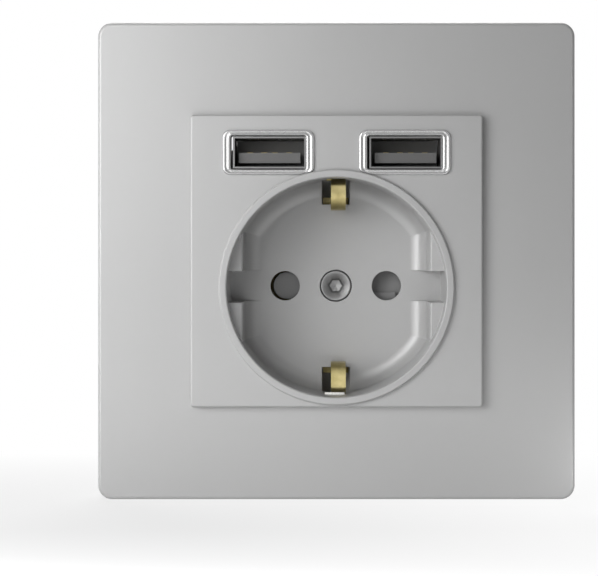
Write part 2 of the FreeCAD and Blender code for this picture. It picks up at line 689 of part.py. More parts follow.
def make_cover_plate():
    half = S["plate_width"] / 2
    inner = skirt_half - S["skirt_wall"]
    skirt_back = frame_front + S["skirt_depth"]
    window_low = S["recess_radius"] - S["window_reach"]
    window_high = S["recess_radius"] + S["cup_wall"] / 4
    window = S["window_width"] / 2
    notch = S["notch_width"] / 2
    notch_low = S["recess_radius"] - S["cup_wall"]
    notch_high = cup_radius + S["cup_wall"]
    hole_x = S["port_width"] / 2 + S["bezel_collar"] + S["bezel_gap"]
    hole_z = S["port_rise"] / 2 + S["bezel_collar"] + S["bezel_gap"]

    body = new_body("plate_blank")
    pad(body, plate_front, frame_front, lambda o: o.rectangle(-half, -half, half, half))
    dress(body, "Fillet", "Radius", S["plate_corner"], corner_edge(half, half))
    dress(body, "Fillet", "Radius", S["plate_edge"], lambda e: all_at(e, "y", plate_front))
    pad(body, frame_front, skirt_back,
        lambda o: o.rectangle(-skirt_half, -skirt_half, skirt_half, skirt_half))
    pocket(body, plate_back, skirt_back, lambda o: o.rectangle(-inner, -inner, inner, inner))
    # The raised rim, the cup behind the plate and the bush that the shutter turns on
    pad(body, rim_front, frame_front, lambda o: o.circle(0, recess_z, rim_radius))
    pad(body, plate_back, floor_back, lambda o: o.circle(0, recess_z, cup_radius))
    pad(body, floor_back, hub_end, lambda o: o.circle(0, recess_z, S["hub_radius"]))
    dress(body, "Chamfer", "Size", S["rim_edge"], lambda e: all_at(e, "y", rim_front))
    pocket(body, rib_front, floor_front, rib_notches)
    # Holes for the pins, the screw and its head
    pocket(body, floor_front, floor_back,
           lambda o: [o.circle(side * pin_x, recess_z, S["pin_hole"] / 2) for side in (-1, 1)])
    pocket(body, floor_front, floor_front + S["head_recess_depth"],
           lambda o: o.circle(0, recess_z, S["head_recess"] / 2))
    pocket(body, floor_front, hub_end,
           lambda o: o.circle(0, recess_z, S["centre_screw_size"] / 2 + S["screw_gap"]))

    # Windows in the floor for the earth clips, and slots for their ends in the wall
    def windows(o):
        for side in (-1, 1):
            low = recess_z + side * window_low
            high = recess_z + side * window_high
            o.rectangle(-window, low, window, high)

    def notches(o):
        for side in (-1, 1):
            low = recess_z + side * notch_low
            high = recess_z + side * notch_high
            o.rectangle(-notch, low, notch, high)

    pocket(body, floor_front - S["floor_round"], floor_back, windows)
    pocket(body, notch_front, floor_back, notches)

    def port_holes(o):
        for side in (-1, 1):
            x = side * port_x
            o.rectangle(x - hole_x, port_z - hole_z, x + hole_x, port_z + hole_z)

    pocket(body, plate_front, plate_back, port_holes)
    return keep(cut("plate_with_recess", body, make_plug_room()), "cover_plate")


def make_bezel(side, name):
    """A ring round a port, with a groove all round and a collar that sits in the plate."""
    half_x, half_z = S["bezel_width"] / 2, S["bezel_rise"] / 2
    open_x, open_z = S["port_width"] / 2, S["port_rise"] / 2
    lip_x, lip_z = open_x + S["bezel_lip"], open_z + S["bezel_lip"]
    groove_x, groove_z = lip_x + S["bezel_groove"], lip_z + S["bezel_groove"]
    collar_x, collar_z = open_x + S["bezel_collar"], open_z + S["bezel_collar"]
    front = plate_front - S["bezel_proud"]

    def ring(half_width, half_rise):
        x = side * port_x
        low, high = port_z - half_rise, port_z + half_rise
        return lambda o: o.rectangle(x - half_width, low, x + half_width, high)

    body = new_body(name)
    pad(body, front, plate_front, ring(half_x, half_z))
    dress(body, "Fillet", "Radius", S["bezel_corner"], along_y)
    dress(body, "Fillet", "Radius", S["bezel_edge"], lambda e: all_at(e, "y", front))
    pad(body, plate_front, plate_back, ring(collar_x, collar_z))
    groove_floor = front + S["bezel_groove_depth"]

    def groove(o):
        ring(groove_x, groove_z)(o)
        ring(lip_x, lip_z)(o)

    def groove_edge(edge):
        box = edge.BoundBox
        across = max(abs(box.XMin - side * port_x.value), abs(box.XMax - side * port_x.value))
        return all_at(edge, "y", front) and across < groove_x.value + NEAR

    pocket(body, front, groove_floor, groove)
    pocket(body, front, plate_back, ring(open_x, open_z))
    dress(body, "Chamfer", "Size", S["bezel_chamfer"], groove_edge)
    # The rim of the recess cuts off the bezel's nearest corner
    pocket(body, front, plate_front, lambda o: o.circle(0, recess_z, rim_radius + S["bezel_gap"]))
    return keep(body, name)


def cross_recess(name, x, z, top, depth, width):
    """The cross in a screw's head: two short blocks."""
    thin = width / 9
    half = width / 2
    flat = block(name + "_flat", (x - half, x + half), (top, top + depth), (z - thin, z + thin))
    tall = block(name + "_tall", (x - thin, x + thin), (top, top + depth), (z - half, z + half))
    return [flat, tall]


def make_centre_screw():
    seat = floor_front + S["head_recess_depth"]
    top = seat - S["centre_head_height"]
    end = seat + S["centre_screw_length"]
    centre = (ZERO, recess_z)
    head = rod("centre_head_rod", "y", top, seat, centre, S["centre_head"] / 2)
    shank = rod("centre_shank", "y", seat, end, centre, S["centre_screw_size"] / 2)
    dish = doc.addObject("Part::Cone", "centre_dish")
    tie(dish, "Radius1", S["centre_dish"] / 2)
    tie(dish, "Radius2", S["centre_dish"] / 10)
    tie(dish, "Height", S["centre_dish_depth"])
    dish.Placement = FreeCAD.Placement(V(), FreeCAD.Rotation(V(1, 0, 0), -90))
    place(dish, ZERO, top, recess_z)
    cross = cross_recess("centre_cross", ZERO, recess_z, top, S["centre_dish_depth"], S["centre_dish"])
    body = fuse("centre_screw_blank", head, shank)
    return keep(cut("centre_screw", body, dish, *cross), "centre_screw")


def make_yoke():
    half = S["frame_width"] / 2 - S["frame_wall"] - S["yoke_room"]
    open_x = S["yoke_opening_half"]
    top, bottom = S["yoke_opening_top"], -S["yoke_opening_bottom"]
    slot_half = S["box_slot_length"] / 2
    slot_radius = S["box_slot_width"] / 2
    box_x = S["box_spacing"] / 2
    body = new_body("yoke_sheet")
    pad(body, yoke_front, ZERO, lambda o: o.rectangle(-half, -half, half, half))
    dress(body, "Fillet", "Radius", S["yoke_corner"], along_y)
    pocket(body, yoke_front, ZERO, lambda o: o.rectangle(-open_x, bottom, open_x, top))

    def opening_corner(edge):
        box = edge.BoundBox
        inside = abs(abs(box.XMin) - open_x.value) < NEAR
        return along_y(edge) and inside

    dress(body, "Fillet", "Radius", S["yoke_corner"], opening_corner)

    def claw_screw_holes(o):
        for side in (-1, 1):
            o.circle(side * S["claw_screw_x"], 0, S["claw_screw_size"] / 2 + S["screw_gap"])

    pocket(body, yoke_front, ZERO, claw_screw_holes)

    # Round-ended slots for the wall box screws, left, right, above and below
    def slots(o):
        flat = slot_half - slot_radius
        for side in (-1, 1):
            low = side * box_x - flat
            high = side * box_x + flat
            o.path([(low, -slot_radius), (high, -slot_radius), (high, slot_radius), (low, slot_radius)],
                   {1: (high, 0), 3: (low, 0)})
            o.path([(slot_radius, low), (slot_radius, high), (-slot_radius, high), (-slot_radius, low)],
                   {1: (0, high), 3: (0, low)})

    pocket(body, yoke_front, ZERO, slots)
    tabs = []
    cuts = []
    # Snap tabs, folded back above and below the housing
    tab_low = flat_half_rise + S["fit_gap"]
    tab_high = tab_low + S["tab_thickness"]
    hole_half = S["nose_width"] / 2 + S["fit_gap"]
    hole_y = (S["nose_start"] - S["fit_gap"], S["nose_start"] + S["nose_length"] + S["fit_gap"])
    tab_root = yoke_front / 2
    for across in (-1, 1):
        for up in (-1, 1):
            x = across * S["tab_offset"]
            z = sorted((up * tab_low, up * tab_high), key=lambda size: size.value)
            spot = "%s_%s" % ("left" if across < 0 else "right", "low" if up < 0 else "high")
            tabs.append(block("snap_tab_" + spot, (x - S["tab_width"] / 2, x + S["tab_width"] / 2),
                              (tab_root, S["tab_length"]), z))
            cuts.append(block("snap_hole_" + spot, (x - hole_half, x + hole_half), hole_y,
                              (z[0] - S["tab_thickness"], z[1] + S["tab_thickness"])))
    # Lugs that carry the claws' trunnions
    lug_near = S["claw_width"] / 2 + S["lug_gap"]
    lug_far = lug_near + S["tab_thickness"]
    for across in (-1, 1):
        x = sorted((across * S["lug_inner"], across * S["lug_outer"]), key=lambda size: size.value)
        for up in (-1, 1):
            z = sorted((up * lug_near, up * lug_far), key=lambda size: size.value)
            spot = "%s_%s" % ("left" if across < 0 else "right", "low" if up < 0 else "high")
            tabs.append(block("claw_lug_" + spot, x, (tab_root, S["lug_length"]), z))
        cuts.append(rod("pivot_hole_%s" % ("left" if across < 0 else "right"), "z",
                        -lug_far - S["tab_thickness"], lug_far + S["tab_thickness"],
                        (across * S["claw_pivot_x"], S["claw_pivot_y"]),
                        S["trunnion_radius"] + S["trunnion_gap"]))
    blank = fuse("yoke_blank", body, *tabs)
    return keep(cut("mounting_yoke", blank, *cuts), "mounting_yoke")


def housing_prism(name, radius, half_x, half_z, y_front, y_back):
    """A round bar with four flats, the housing's outline."""
    bar = rod(name + "_round", "y", y_front, y_back, (ZERO, ZERO), radius)
    flats = block(name + "_flats", (-half_x, half_x), (y_front, y_back), (-half_z, half_z))
    return common(name, bar, flats)


def make_housing():
    outer = housing_prism("housing_outer", housing_radius, flat_half_width,
                          flat_half_rise, ZERO, housing_back)
    inner_x, inner_z = inner_half_width, inner_half_rise
    front_room = housing_prism("front_room", inner_radius, inner_x, inner_z, ZERO, deck_front)
    rear_room = housing_prism("rear_room", inner_radius, inner_x, inner_z, deck_back, housing_back)
    shell = cut("housing_shell", outer, front_room, rear_room)
    added = [shell]
    # The ledge that the port board lies on
    ledge_back = board_back + S["deck_thickness"]
    ledge = block("board_ledge", (-inner_x - S["fit_gap"], inner_x + S["fit_gap"]),
                  (board_back, ledge_back), (S["board_bottom"], inner_z + S["fit_gap"]))
    room_half = S["board_half_width"] - S["flat_wall"]
    ledge_room = block("ledge_room", (-room_half, room_half), (board_back - 1, ledge_back + 1),
                       (S["board_bottom"] - 1, S["board_top"] + 1))
    ring = housing_prism("ledge_ring", inner_radius + S["fit_gap"], inner_x + S["fit_gap"],
                         inner_z + S["fit_gap"], board_back, ledge_back)
    added.append(cut("ledge", common("ledge_blank", ledge, ring), ledge_room))
    # Boss for the centre screw, posts for the power board
    added.append(rod("screw_boss", "y", deck_front + S["fit_gap"], deck_back + S["boss_length"],
                     (ZERO, recess_z), S["boss_radius"]))
    for side in (-1, 1):
        added.append(rod("board_post_%s" % ("left" if side < 0 else "right"), "y",
                         deck_front + S["fit_gap"], power_front,
                         (side * S["post_offset"], recess_z), S["post_radius"]))
    # Snap noses for the yoke's tabs
    for across in (-1, 1):
        for up in (-1, 1):
            x = across * S["tab_offset"]
            root_z = up * (flat_half_rise - S["fit_gap"])
            top_z = up * (flat_half_rise + S["nose_height"])
            z = sorted((root_z, top_z), key=lambda size: size.value)
            spot = "%s_%s" % ("left" if across < 0 else "right", "low" if up < 0 else "high")
            added.append(block("snap_nose_" + spot, (x - S["nose_width"] / 2, x + S["nose_width"] / 2),
                               (S["nose_start"], S["nose_start"] + S["nose_length"]), z))
    # Barriers between the wire clamps
    barrier_half = S["barrier_thickness"] / 2
    for side in (-1, 1):
        x = side * S["terminal_spacing"] / 2
        added.append(block("barrier_%s" % ("left" if side < 0 else "right"),
                           (x - barrier_half, x + barrier_half), (deck_back - 1, power_front),
                           (-inner_z - S["fit_gap"], -S["leaf_height"] + 1)))
    cuts = []
    sleeve_hole = S["sleeve_bore"] / 2 + S["sleeve_wall"] + S["play"]
    for side in (-1, 1):
        word = "left" if side < 0 else "right"
        cuts.append(rod("sleeve_hole_" + word, "y", deck_front - 1, deck_back + 1,
                        (side * pin_x, recess_z), sleeve_hole))
        cuts.append(rod("post_pilot_" + word, "y", power_front - S["cover_screw_length"], power_front + 1,
                        (side * S["post_offset"], recess_z),
                        S["cover_screw_size"] / 2 + S["thread_gap"]))
    cuts.append(rod("boss_pilot", "y", deck_front - 1, deck_back + S["boss_length"] + 1,
                    (ZERO, recess_z), S["centre_screw_size"] / 2 + S["thread_gap"]))
    leaf_half = S["strap_width"] / 2 + S["play"]
    leaf_z = -S["leaf_height"]
    cuts.append(block("earth_leaf_slot", (-leaf_half, leaf_half), (deck_front - 1, deck_back + 1),
                      (leaf_z - S["leaf_thickness"] - S["play"], leaf_z + S["play"])))
    pin_half = 2 * S["link_pin_pitch"]
    cuts.append(block("link_pin_slot", (-pin_half, pin_half), (deck_front - 1, deck_back + 1),
                      (S["link_pin_height"] - 1, S["link_pin_height"] + 1)))
    clamp_middle = S["clamp_start"] + S["clamp_length"] / 2
    for number in (-1, 0, 1):
        cuts.append(rod("screw_access_%d" % (number + 2), "z", -flat_half_rise - 1,
                        -S["clamp_screw_drop"] + 1,
                        (number * S["terminal_spacing"], clamp_middle), S["screw_access"] / 2))
    return keep(cut("base_housing", fuse("housing_blank", *added), *cuts), "base_housing")


def make_rear_cover():
    plate = housing_prism("cover_blank", housing_radius, flat_half_width,
                          flat_half_rise, housing_back, cover_back)
    # A low spigot centres the cover in the housing and presses on the board's edge
    gap = S["fit_gap"]
    inner_x, inner_z = inner_half_width, inner_half_rise
    spigot = housing_prism("spigot_outer", inner_radius - gap, inner_x - gap, inner_z - gap,
                           power_back, housing_back + gap)
    wall = S["housing_wall"]
    room = housing_prism("spigot_room", inner_radius - wall, inner_x - wall, inner_z - wall,
                         power_back - 1, housing_back)
    cuts = []
    entry_z = wire_z()
    for number in (-1, 0, 1):
        cuts.append(rod("wire_entry_%d" % (number + 2), "y", housing_back - 1, cover_back + 1,
                        (number * S["terminal_spacing"], entry_z), S["wire_entry"] / 2))
    for side in (-1, 1):
        cuts.append(rod("cover_hole_%s" % ("left" if side < 0 else "right"), "y", housing_back - 1,
                        cover_back + 1, (side * S["post_offset"], recess_z),
                        S["cover_screw_size"] / 2 + S["screw_gap"]))
    for number in range(-3, 4):
        x = number * S["vent_pitch"]
        cuts.append(block("vent_%d" % (number + 4), (x - S["vent_width"] / 2, x + S["vent_width"] / 2),
                          (housing_back - 1, cover_back + 1),
                          (S["recess_drop"], S["recess_drop"] + S["vent_length"])))
    blank = fuse("rear_cover_blank", plate, cut("spigot", spigot, room))
    return keep(cut("rear_cover", blank, *cuts), "rear_cover")


def wire_z():
    """The height of the wires, midway between the leaf and the screw's tip."""
    leaf_low = -S["leaf_height"] - S["leaf_thickness"]
    tip = -S["clamp_screw_drop"] + S["clamp_screw_length"]
    return (leaf_low + tip) / 2


def make_cover_screws():
    screws = []
    for side in (-1, 1):
        word = "left" if side < 0 else "right"
        centre = (side * S["post_offset"], recess_z)
        head = rod("cover_head_" + word, "y", cover_back, cover_back + S["cover_head_height"],
                   centre, S["cover_head"] / 2)
        shank = rod("cover_shank_" + word, "y", cover_back - S["cover_screw_length"], cover_back,
                    centre, S["cover_screw_size"] / 2)
        depth = S["cover_head_height"] * 0.6
        bottom = cover_back + S["cover_head_height"] - depth
        cross = cross_recess("cover_cross_" + word, centre[0], recess_z, bottom, depth,
                             S["cover_head"] * 0.6)
        screws.append(cut("cover_screw_" + word, fuse("cover_blank_" + word, head, shank), *cross))
    return keep(group("cover_screws", *screws), "cover_screws")


def bar_outline(o, reach, half, side):
    """A bar from the hub to a round end, on one side of the axis."""
    x = side * reach
    first, second = recess_z - side * half, recess_z + side * half
    o.path([(0, first), (x, first), (x, second), (0, second)], {1: (x, recess_z)})


def make_shutter():
    bore = S["hub_radius"] + S["shutter_bore_gap"]
    right_half = S["right_wing_width"] / 2
    wing_front = shutter_front + S["ledge_height"]
    body = new_body("shutter")
    pad(body, shutter_front, shutter_back, lambda o: o.circle(0, recess_z, S["shutter_hub"]))
    pad(body, shutter_front, shutter_back,
        lambda o: bar_outline(o, S["left_wing_reach"], S["left_wing_width"] / 2, -1))
    pad(body, wing_front, shutter_back,
        lambda o: bar_outline(o, S["right_wing_reach"], right_half, 1))
    # A raised ledge along the right wing's lower edge
    ledge_top = recess_z - S["ledge_drop"]
    ledge_low = recess_z - right_half
    pad(body, shutter_front, shutter_back,
        lambda o: o.rectangle(S["shutter_hub"] / 2, ledge_low, S["right_wing_reach"] + right_half / 2,
                              ledge_top))
    # The finger that the spring pushes against
    finger = S["finger_x"]
    pad(body, shutter_front, shutter_back,
        lambda o: o.rectangle(finger, recess_z, finger + S["finger_width"],
                              recess_z + S["finger_reach"]))
    pocket(body, shutter_front, shutter_back, lambda o: o.circle(0, recess_z, bore))
    return keep(body, "shutter")


def make_retainer():
    centre = (ZERO, recess_z)
    disc = rod("retainer_disc", "y", hub_end, retainer_back, centre, S["retainer_radius"])
    post = block("spring_post", (-S["spring_post_x"] - S["finger_width"], -S["spring_post_x"]),
                 (shutter_front, hub_end + S["fit_gap"]),
                 (recess_z + S["finger_reach"] - S["spring_rise"], recess_z + S["finger_reach"]))
    cuts = [rod("retainer_screw_hole", "y", hub_end - 1, retainer_back + 1, centre,
                S["centre_screw_size"] / 2 + S["screw_gap"])]
    for side in (-1, 1):
        cuts.append(rod("retainer_pin_hole_%s" % ("left" if side < 0 else "right"), "y",
                        hub_end - 1, retainer_back + 1, (side * pin_x, recess_z), S["pin_passage"]))
    return keep(cut("shutter_retainer", fuse("retainer_blank", disc, post), *cuts), "shutter_retainer")


def bent_strip(name, plane_rotation, points, thickness, low, high, arcs=None):
    """Sheet of one thickness bent along a line of points and extruded between two levels."""
    line = doc.addObject("Sketcher::SketchObject", name + "_line")
    line.Placement = FreeCAD.Placement(V(), plane_rotation)
    Outline(line).path(points, arcs, closed=False)
    doc.recompute()
    face = doc.addObject("Part::Offset2D", name + "_section")
    face.Source = line
    face.Mode = "Skin"
    face.Join = "Arc"
    face.Fill = True
    tie(face, "Value", thickness)
    doc.recompute()
    strip = doc.addObject("Part::Extrusion", name)
    strip.Base = face
    strip.DirMode = "Custom"
    strip.Dir = plane_rotation.multVec(V(0, 0, 1))
    strip.Solid = True
    tie(strip, "LengthFwd", high)
    tie(strip, "LengthRev", -as_size(low))
    return strip


# Sketch planes: seen from the right, from above and from the front
SIDE = FreeCAD.Rotation(V(0, 1, 0), V(0, 0, 1), V(1, 0, 0), "XYZ")
TOP = FreeCAD.Rotation()
FRONT = FreeCAD.Rotation(V(1, 0, 0), V(0, 0, 1), V(0, -1, 0), "XYZ")


def make_spring():
    """A folded leaf spring between the retainer's post and the shutter's finger."""
    sheet_gap = S["spring_sheet"] * 1.2
    start = -S["spring_post_x"] + sheet_gap
    end = S["finger_x"] - sheet_gap
    top = recess_z + S["finger_reach"]
    low = top - S["spring_rise"]
    fold = (end - start) / 4
    points = [(start, low), (start, top), (start + fold, low), (start + fold * 2, top),
              (start + fold * 3, low), (end, top), (end, low)]
    back = shutter_back - S["play"]
    front = shutter_front + S["play"]
    spring = bent_strip("shutter_spring", FRONT, points, S["spring_sheet"], -back, -front)
    return keep(spring, "shutter_spring")


def clip_points():
    """The bow of an earth clip, as depth and height, from its tip in the wall to its root."""
    tip_y = notch_front + S["clip_thickness"]
    root_r = recess_z + S["clip_root"]
    nose = recess_z + S["clip_nose"]
    rise = S["clip_root"] - S["clip_nose"]
    tip_r = recess_z + S["recess_radius"] + S["cup_wall"] / 4
    bow_back = floor_front - rise
    return [
        (tip_y + rise, tip_r),
        (tip_y, tip_r - rise),
        (tip_y, nose + S["clip_bend"]),
        (tip_y + S["clip_bend"], nose),
        (bow_back, nose),
        (floor_front, root_r),
        (strap_front + S["clip_thickness"] / 2, root_r),
    ]


def clip_bend():
    """The rounded end of the bow: the number of its side and the middle of its arc."""
    x, y = clip_points()[3]
    return {2: (x, y + S["clip_bend"])}


def make_earth_strap():
    half = S["strap_width"] / 2
    reach = S["clip_root"] + S["clip_thickness"]
    centre = (ZERO, recess_z)
    base = block("strap_base", (-half, half), (strap_front, deck_front),
                 (recess_z - reach, recess_z + reach))
    clip_half = S["clip_width"] / 2
    upper = bent_strip("upper_clip", SIDE, clip_points(), S["clip_thickness"],
                       S["clip_shift"] - clip_half, S["clip_shift"] + clip_half, clip_bend())
    tip_y = clip_points()[0][0]
    tab_half = S["clip_tab_width"] / 2
    tip_r = clip_points()[0][1]
    tab = block("upper_clip_tab", (-tab_half, tab_half),
                (tip_y - S["clip_thickness"], tip_y + S["clip_thickness"]),
                (tip_r - S["clip_thickness"], tip_r + S["clip_thickness"]))
    lower = mirrored("lower_clip", fuse("clip_with_tab", upper, tab), (0, 0, 1), recess_z)
    leaf = block("earth_leaf", (-half, half), (strap_front, S["clamp_start"] + S["clamp_length"]),
                 (-S["leaf_height"] - S["leaf_thickness"], -S["leaf_height"]))
    hole = rod("strap_hole", "y", strap_front - 1, deck_front + 1, centre,
               S["centre_screw_size"] / 2 + S["screw_gap"])
    blank = fuse("strap_blank", base, upper, tab, lower, leaf)
    return keep(cut("earth_strap", blank, hole), "earth_strap")


def make_contacts():
    """The live contact, and the neutral one as its mirror image."""
    bore = S["sleeve_bore"] / 2
    outer = bore + S["sleeve_wall"]
    leaf = S["leaf_thickness"]
    collar_back = deck_back + leaf
    sleeve_front = deck_back - S["sleeve_lead"]
    sleeve_back = sleeve_front + S["sleeve_length"]
    x = -pin_x
    tail_low = -S["leaf_height"] - leaf
    terminal_x = -S["terminal_spacing"]
    leaf_half = S["leaf_width"] / 2
    collar = rod("contact_collar", "y", deck_back, collar_back, (x, recess_z), S["collar_radius"])
    sleeve = rod("contact_sleeve", "y", sleeve_front, sleeve_back, (x, recess_z), outer)
    tail = block("contact_tail", (terminal_x - leaf_half, terminal_x + leaf_half),
                 (deck_back, collar_back), (tail_low, recess_z))
    terminal = block("contact_leaf", (terminal_x - leaf_half, terminal_x + leaf_half),
                     (deck_back, S["clamp_start"] + S["clamp_length"]), (tail_low, -S["leaf_height"]))
    tab_x = x - S["collar_radius"] + leaf / 2
    tab = block("solder_tab", (tab_x, tab_x + leaf), (deck_back, power_back),
                (recess_z - leaf, recess_z + leaf))
    blank = fuse("contact_blank", collar, sleeve, tail, terminal, tab)
    cuts = [rod("contact_bore", "y", sleeve_front - 1, sleeve_back + 1, (x, recess_z), bore)]
    slit = S["sleeve_slit"] / 2
    cuts.append(block("sleeve_slit_upright", (x - slit, x + slit), (collar_back + 1, sleeve_back + 1),
                      (recess_z - outer - 1, recess_z + outer + 1)))
    live = cut("live_contact", blank, *cuts)
    keep(live, "live_contact")
    keep(mirrored("neutral_contact", live), "neutral_contact")


def make_clamp(number, name):
    """A wire clamp and its screw: a cage round the terminal leaf."""
    x = number * S["terminal_spacing"]
    half = S["clamp_width"] / 2
    open_half = half - S["clamp_wall"]
    window_top = -S["leaf_height"]
    window_low = window_top - S["clamp_window"]
    top = window_top + S["clamp_wall"]
    low = window_low - S["clamp_block"]
    y0, y1 = S["clamp_start"], S["clamp_start"] + S["clamp_length"]
    middle = (x, (y0 + y1) / 2)
    cage = block(name + "_cage", (x - half, x + half), (y0, y1), (low, top))
    window = block(name + "_window", (x - open_half, x + open_half), (y0 - 1, y1 + 1),
                   (window_low, window_top))
    under_head = -S["clamp_screw_drop"]
    tip = under_head + S["clamp_screw_length"]
    thread = rod(name + "_thread", "z", under_head - 1, tip, middle,
                 S["clamp_screw_size"] / 2 + S["thread_gap"])
    keep(cut(name, cage, window, thread), name)
    head_low = under_head - S["clamp_head_height"]
    head = rod(name + "_head", "z", head_low, under_head, middle, S["clamp_head"] / 2)
    shank = rod(name + "_shank", "z", under_head, tip, middle, S["clamp_screw_size"] / 2)
    blade = S["clamp_head"] / 10
    depth = S["clamp_head_height"] / 2
    slot = block(name + "_slot", (x - half, x + half), (middle[1] - blade, middle[1] + blade),
                 (head_low - depth, head_low + depth))
    keep(cut(name + "_screw", fuse(name + "_screw_blank", head, shank), slot), name + "_screw")


def make_port(side, word):
    """A charging port: steel shell, insulator with its tongue, and four contact strips."""
    x = side * port_x + S["shell_shift"]
    half_x, half_z = S["shell_width"] / 2, S["shell_rise"] / 2
    wall = S["shell_wall"]
    outer = block("shell_outer_" + word, (x - half_x - wall, x + half_x + wall), (shell_front, shell_back),
                  (port_z - half_z - wall, port_z + half_z + wall))
    room = block("shell_room_" + word, (x - half_x, x + half_x), (shell_front - 1, shell_back + 1),
                 (port_z - half_z, port_z + half_z))
    # Spring leaves are stamped free on three sides, two above and two below
    slots = []
    spring_x = S["tongue_width"] / 4
    for number in (-1, 1):
        leaf_x = x + number * spring_x
        slots.append(block("leaf_gap_%s_%d" % (word, number + 2),
                           (leaf_x - S["strip_width"], leaf_x + S["strip_width"]),
                           (shell_front + S["tongue_inset"], shell_front + S["tongue_inset"] + wall),
                           (port_z - half_z - 1, port_z + half_z + 1)))
        for edge in (-1, 1):
            edge_x = leaf_x + edge * S["strip_width"]
            slots.append(block("leaf_side_%s_%d_%d" % (word, number + 2, edge + 2),
                               (edge_x - wall / 2, edge_x + wall / 2),
                               (shell_front + S["tongue_inset"], shell_back - 2 * S["plug_block"]),
                               (port_z - half_z - 1, port_z + half_z + 1)))
    keep(cut("usb_shell_" + word, outer, room, *slots), "usb_shell_" + word)

    gap = S["fit_gap"]
    block_front = shell_back - S["plug_block"]
    tongue_front = shell_front + S["tongue_inset"]
    rear = block("plug_block_" + word, (x - half_x + gap, x + half_x - gap), (block_front, shell_back),
                 (port_z - half_z + gap, port_z + half_z - gap))
    tongue_half = S["tongue_width"] / 2
    tongue = block("tongue_" + word, (x - tongue_half, x + tongue_half), (tongue_front, block_front + gap),
                   (tongue_top - S["tongue_rise"], tongue_top))
    strips = []
    slits = []
    strip_front = tongue_front + 2 * S["strip_thickness"]
    for number, offset in enumerate(strip_offsets()):
        strip_x = (x + offset - S["strip_width"] / 2, x + offset + S["strip_width"] / 2)
        strips.append(block("strip_%s_%d" % (word, number), strip_x,
                            (strip_front, shell_back + S["strip_tail"]), strip_level()))
        slits.append(block("slit_%s_%d" % (word, number), strip_x, (strip_front, shell_back + 1),
                           strip_level()))
    keep(cut("usb_insulator_" + word, fuse("insulator_blank_" + word, rear, tongue), *slits),
         "usb_insulator_" + word)
    keep(group("usb_contacts_" + word, *strips), "usb_contacts_" + word)


def strip_offsets():
    """The contact strips' places across a port."""
    return (-S["strip_outer"], -S["strip_inner"], S["strip_inner"], S["strip_outer"])


def strip_level():
    """The lower and upper face of the contact strips."""
    top = tongue_top + S["strip_proud"]
    return top - S["strip_thickness"], top


def link_pin_places():
    return [number * S["link_pin_pitch"] / 2 for number in (-3, -1, 1, 3)]


def make_usb_board():
    half = S["board_half_width"]
    low, top, slope = S["board_bottom"], S["board_top"], S["board_cut"]
    body = new_body("usb_board")
    pad(body, board_front, board_back,
        lambda o: o.path([(-half, low), (half, low), (half, top - slope), (half - slope, top),
                          (-half + slope, top), (-half, top - slope)]))
    pin_half = S["link_pin_width"] / 2
    strip_half = S["strip_width"] / 2
    strip_low, strip_top = strip_level()

    def pads(o):
        for x in link_pin_places():
            z = S["link_pin_height"]
            o.rectangle(x - pin_half, z - pin_half, x + pin_half, z + pin_half)
        for side in (-1, 1):
            for offset in strip_offsets():
                x = side * port_x + S["shell_shift"] + offset
                o.rectangle(x - strip_half, strip_low, x + strip_half, strip_top)

    pocket(body, board_front, board_back, pads)
    return keep(body, "usb_board")


def make_link_pins():
    pin_half = S["link_pin_width"] / 2
    z = S["link_pin_height"]
    pins = []
    holes = []
    for number, x in enumerate(link_pin_places()):
        pins.append(block("link_pin_%d" % number, (x - pin_half, x + pin_half),
                          (board_front - pin_half, power_back + pin_half / 2), (z - pin_half, z + pin_half)))
        holes.append(block("spacer_hole_%d" % number, (x - pin_half, x + pin_half),
                           (power_front - S["spacer_length"] - 1, power_front + 1),
                           (z - pin_half, z + pin_half)))
    keep(group("link_pins", *pins), "link_pins")
    half = 2 * S["link_pin_pitch"]
    strip = block("spacer_strip", (-half, half), (power_front - S["spacer_length"], power_front),
                  (z - S["link_pin_pitch"] / 2, z + S["link_pin_pitch"] / 2))
    keep(cut("header_spacer", strip, *holes), "header_spacer")


def make_power_board():
    gap = S["power_board_gap"]
    half_x, half_z = inner_half_width - gap, inner_half_rise - gap
    disc = rod("power_board_round", "y", power_front, power_back, (ZERO, ZERO), inner_radius - gap)
    sheet_block = block("power_board_flats", (-half_x, half_x), (power_front, power_back),
                        (-S["power_board_bottom"], half_z))
    cuts = []
    for side in (-1, 1):
        cuts.append(rod("power_board_hole_%s" % ("left" if side < 0 else "right"), "y",
                        power_front - 1, power_back + 1, (side * S["post_offset"], recess_z),
                        S["cover_screw_size"] / 2 + S["screw_gap"]))
        leaf = S["leaf_thickness"]
        tab_near = pin_x + S["collar_radius"] - leaf / 2
        slot_x = sorted((side * tab_near, side * (tab_near - leaf)), key=lambda size: size.value)
        cuts.append(block("solder_slot_%s" % ("left" if side < 0 else "right"), slot_x,
                          (power_front - 1, power_back + 1), (recess_z - leaf, recess_z + leaf)))
    pin_half = S["link_pin_width"] / 2
    z = S["link_pin_height"]
    for number, x in enumerate(link_pin_places()):
        cuts.append(block("power_pin_hole_%d" % number, (x - pin_half, x + pin_half),
                          (power_front - 1, power_back + 1), (z - pin_half, z + pin_half)))
    return keep(cut("power_board", common("power_board_blank", disc, sheet_block), *cuts), "power_board")


def standing_can(name, radius, height):
    """A round component that stands on the power board."""
    centre = (S[name + "_x"], S[name + "_z"])
    return keep(rod(name, "y", power_front - height, power_front, centre, radius), name)


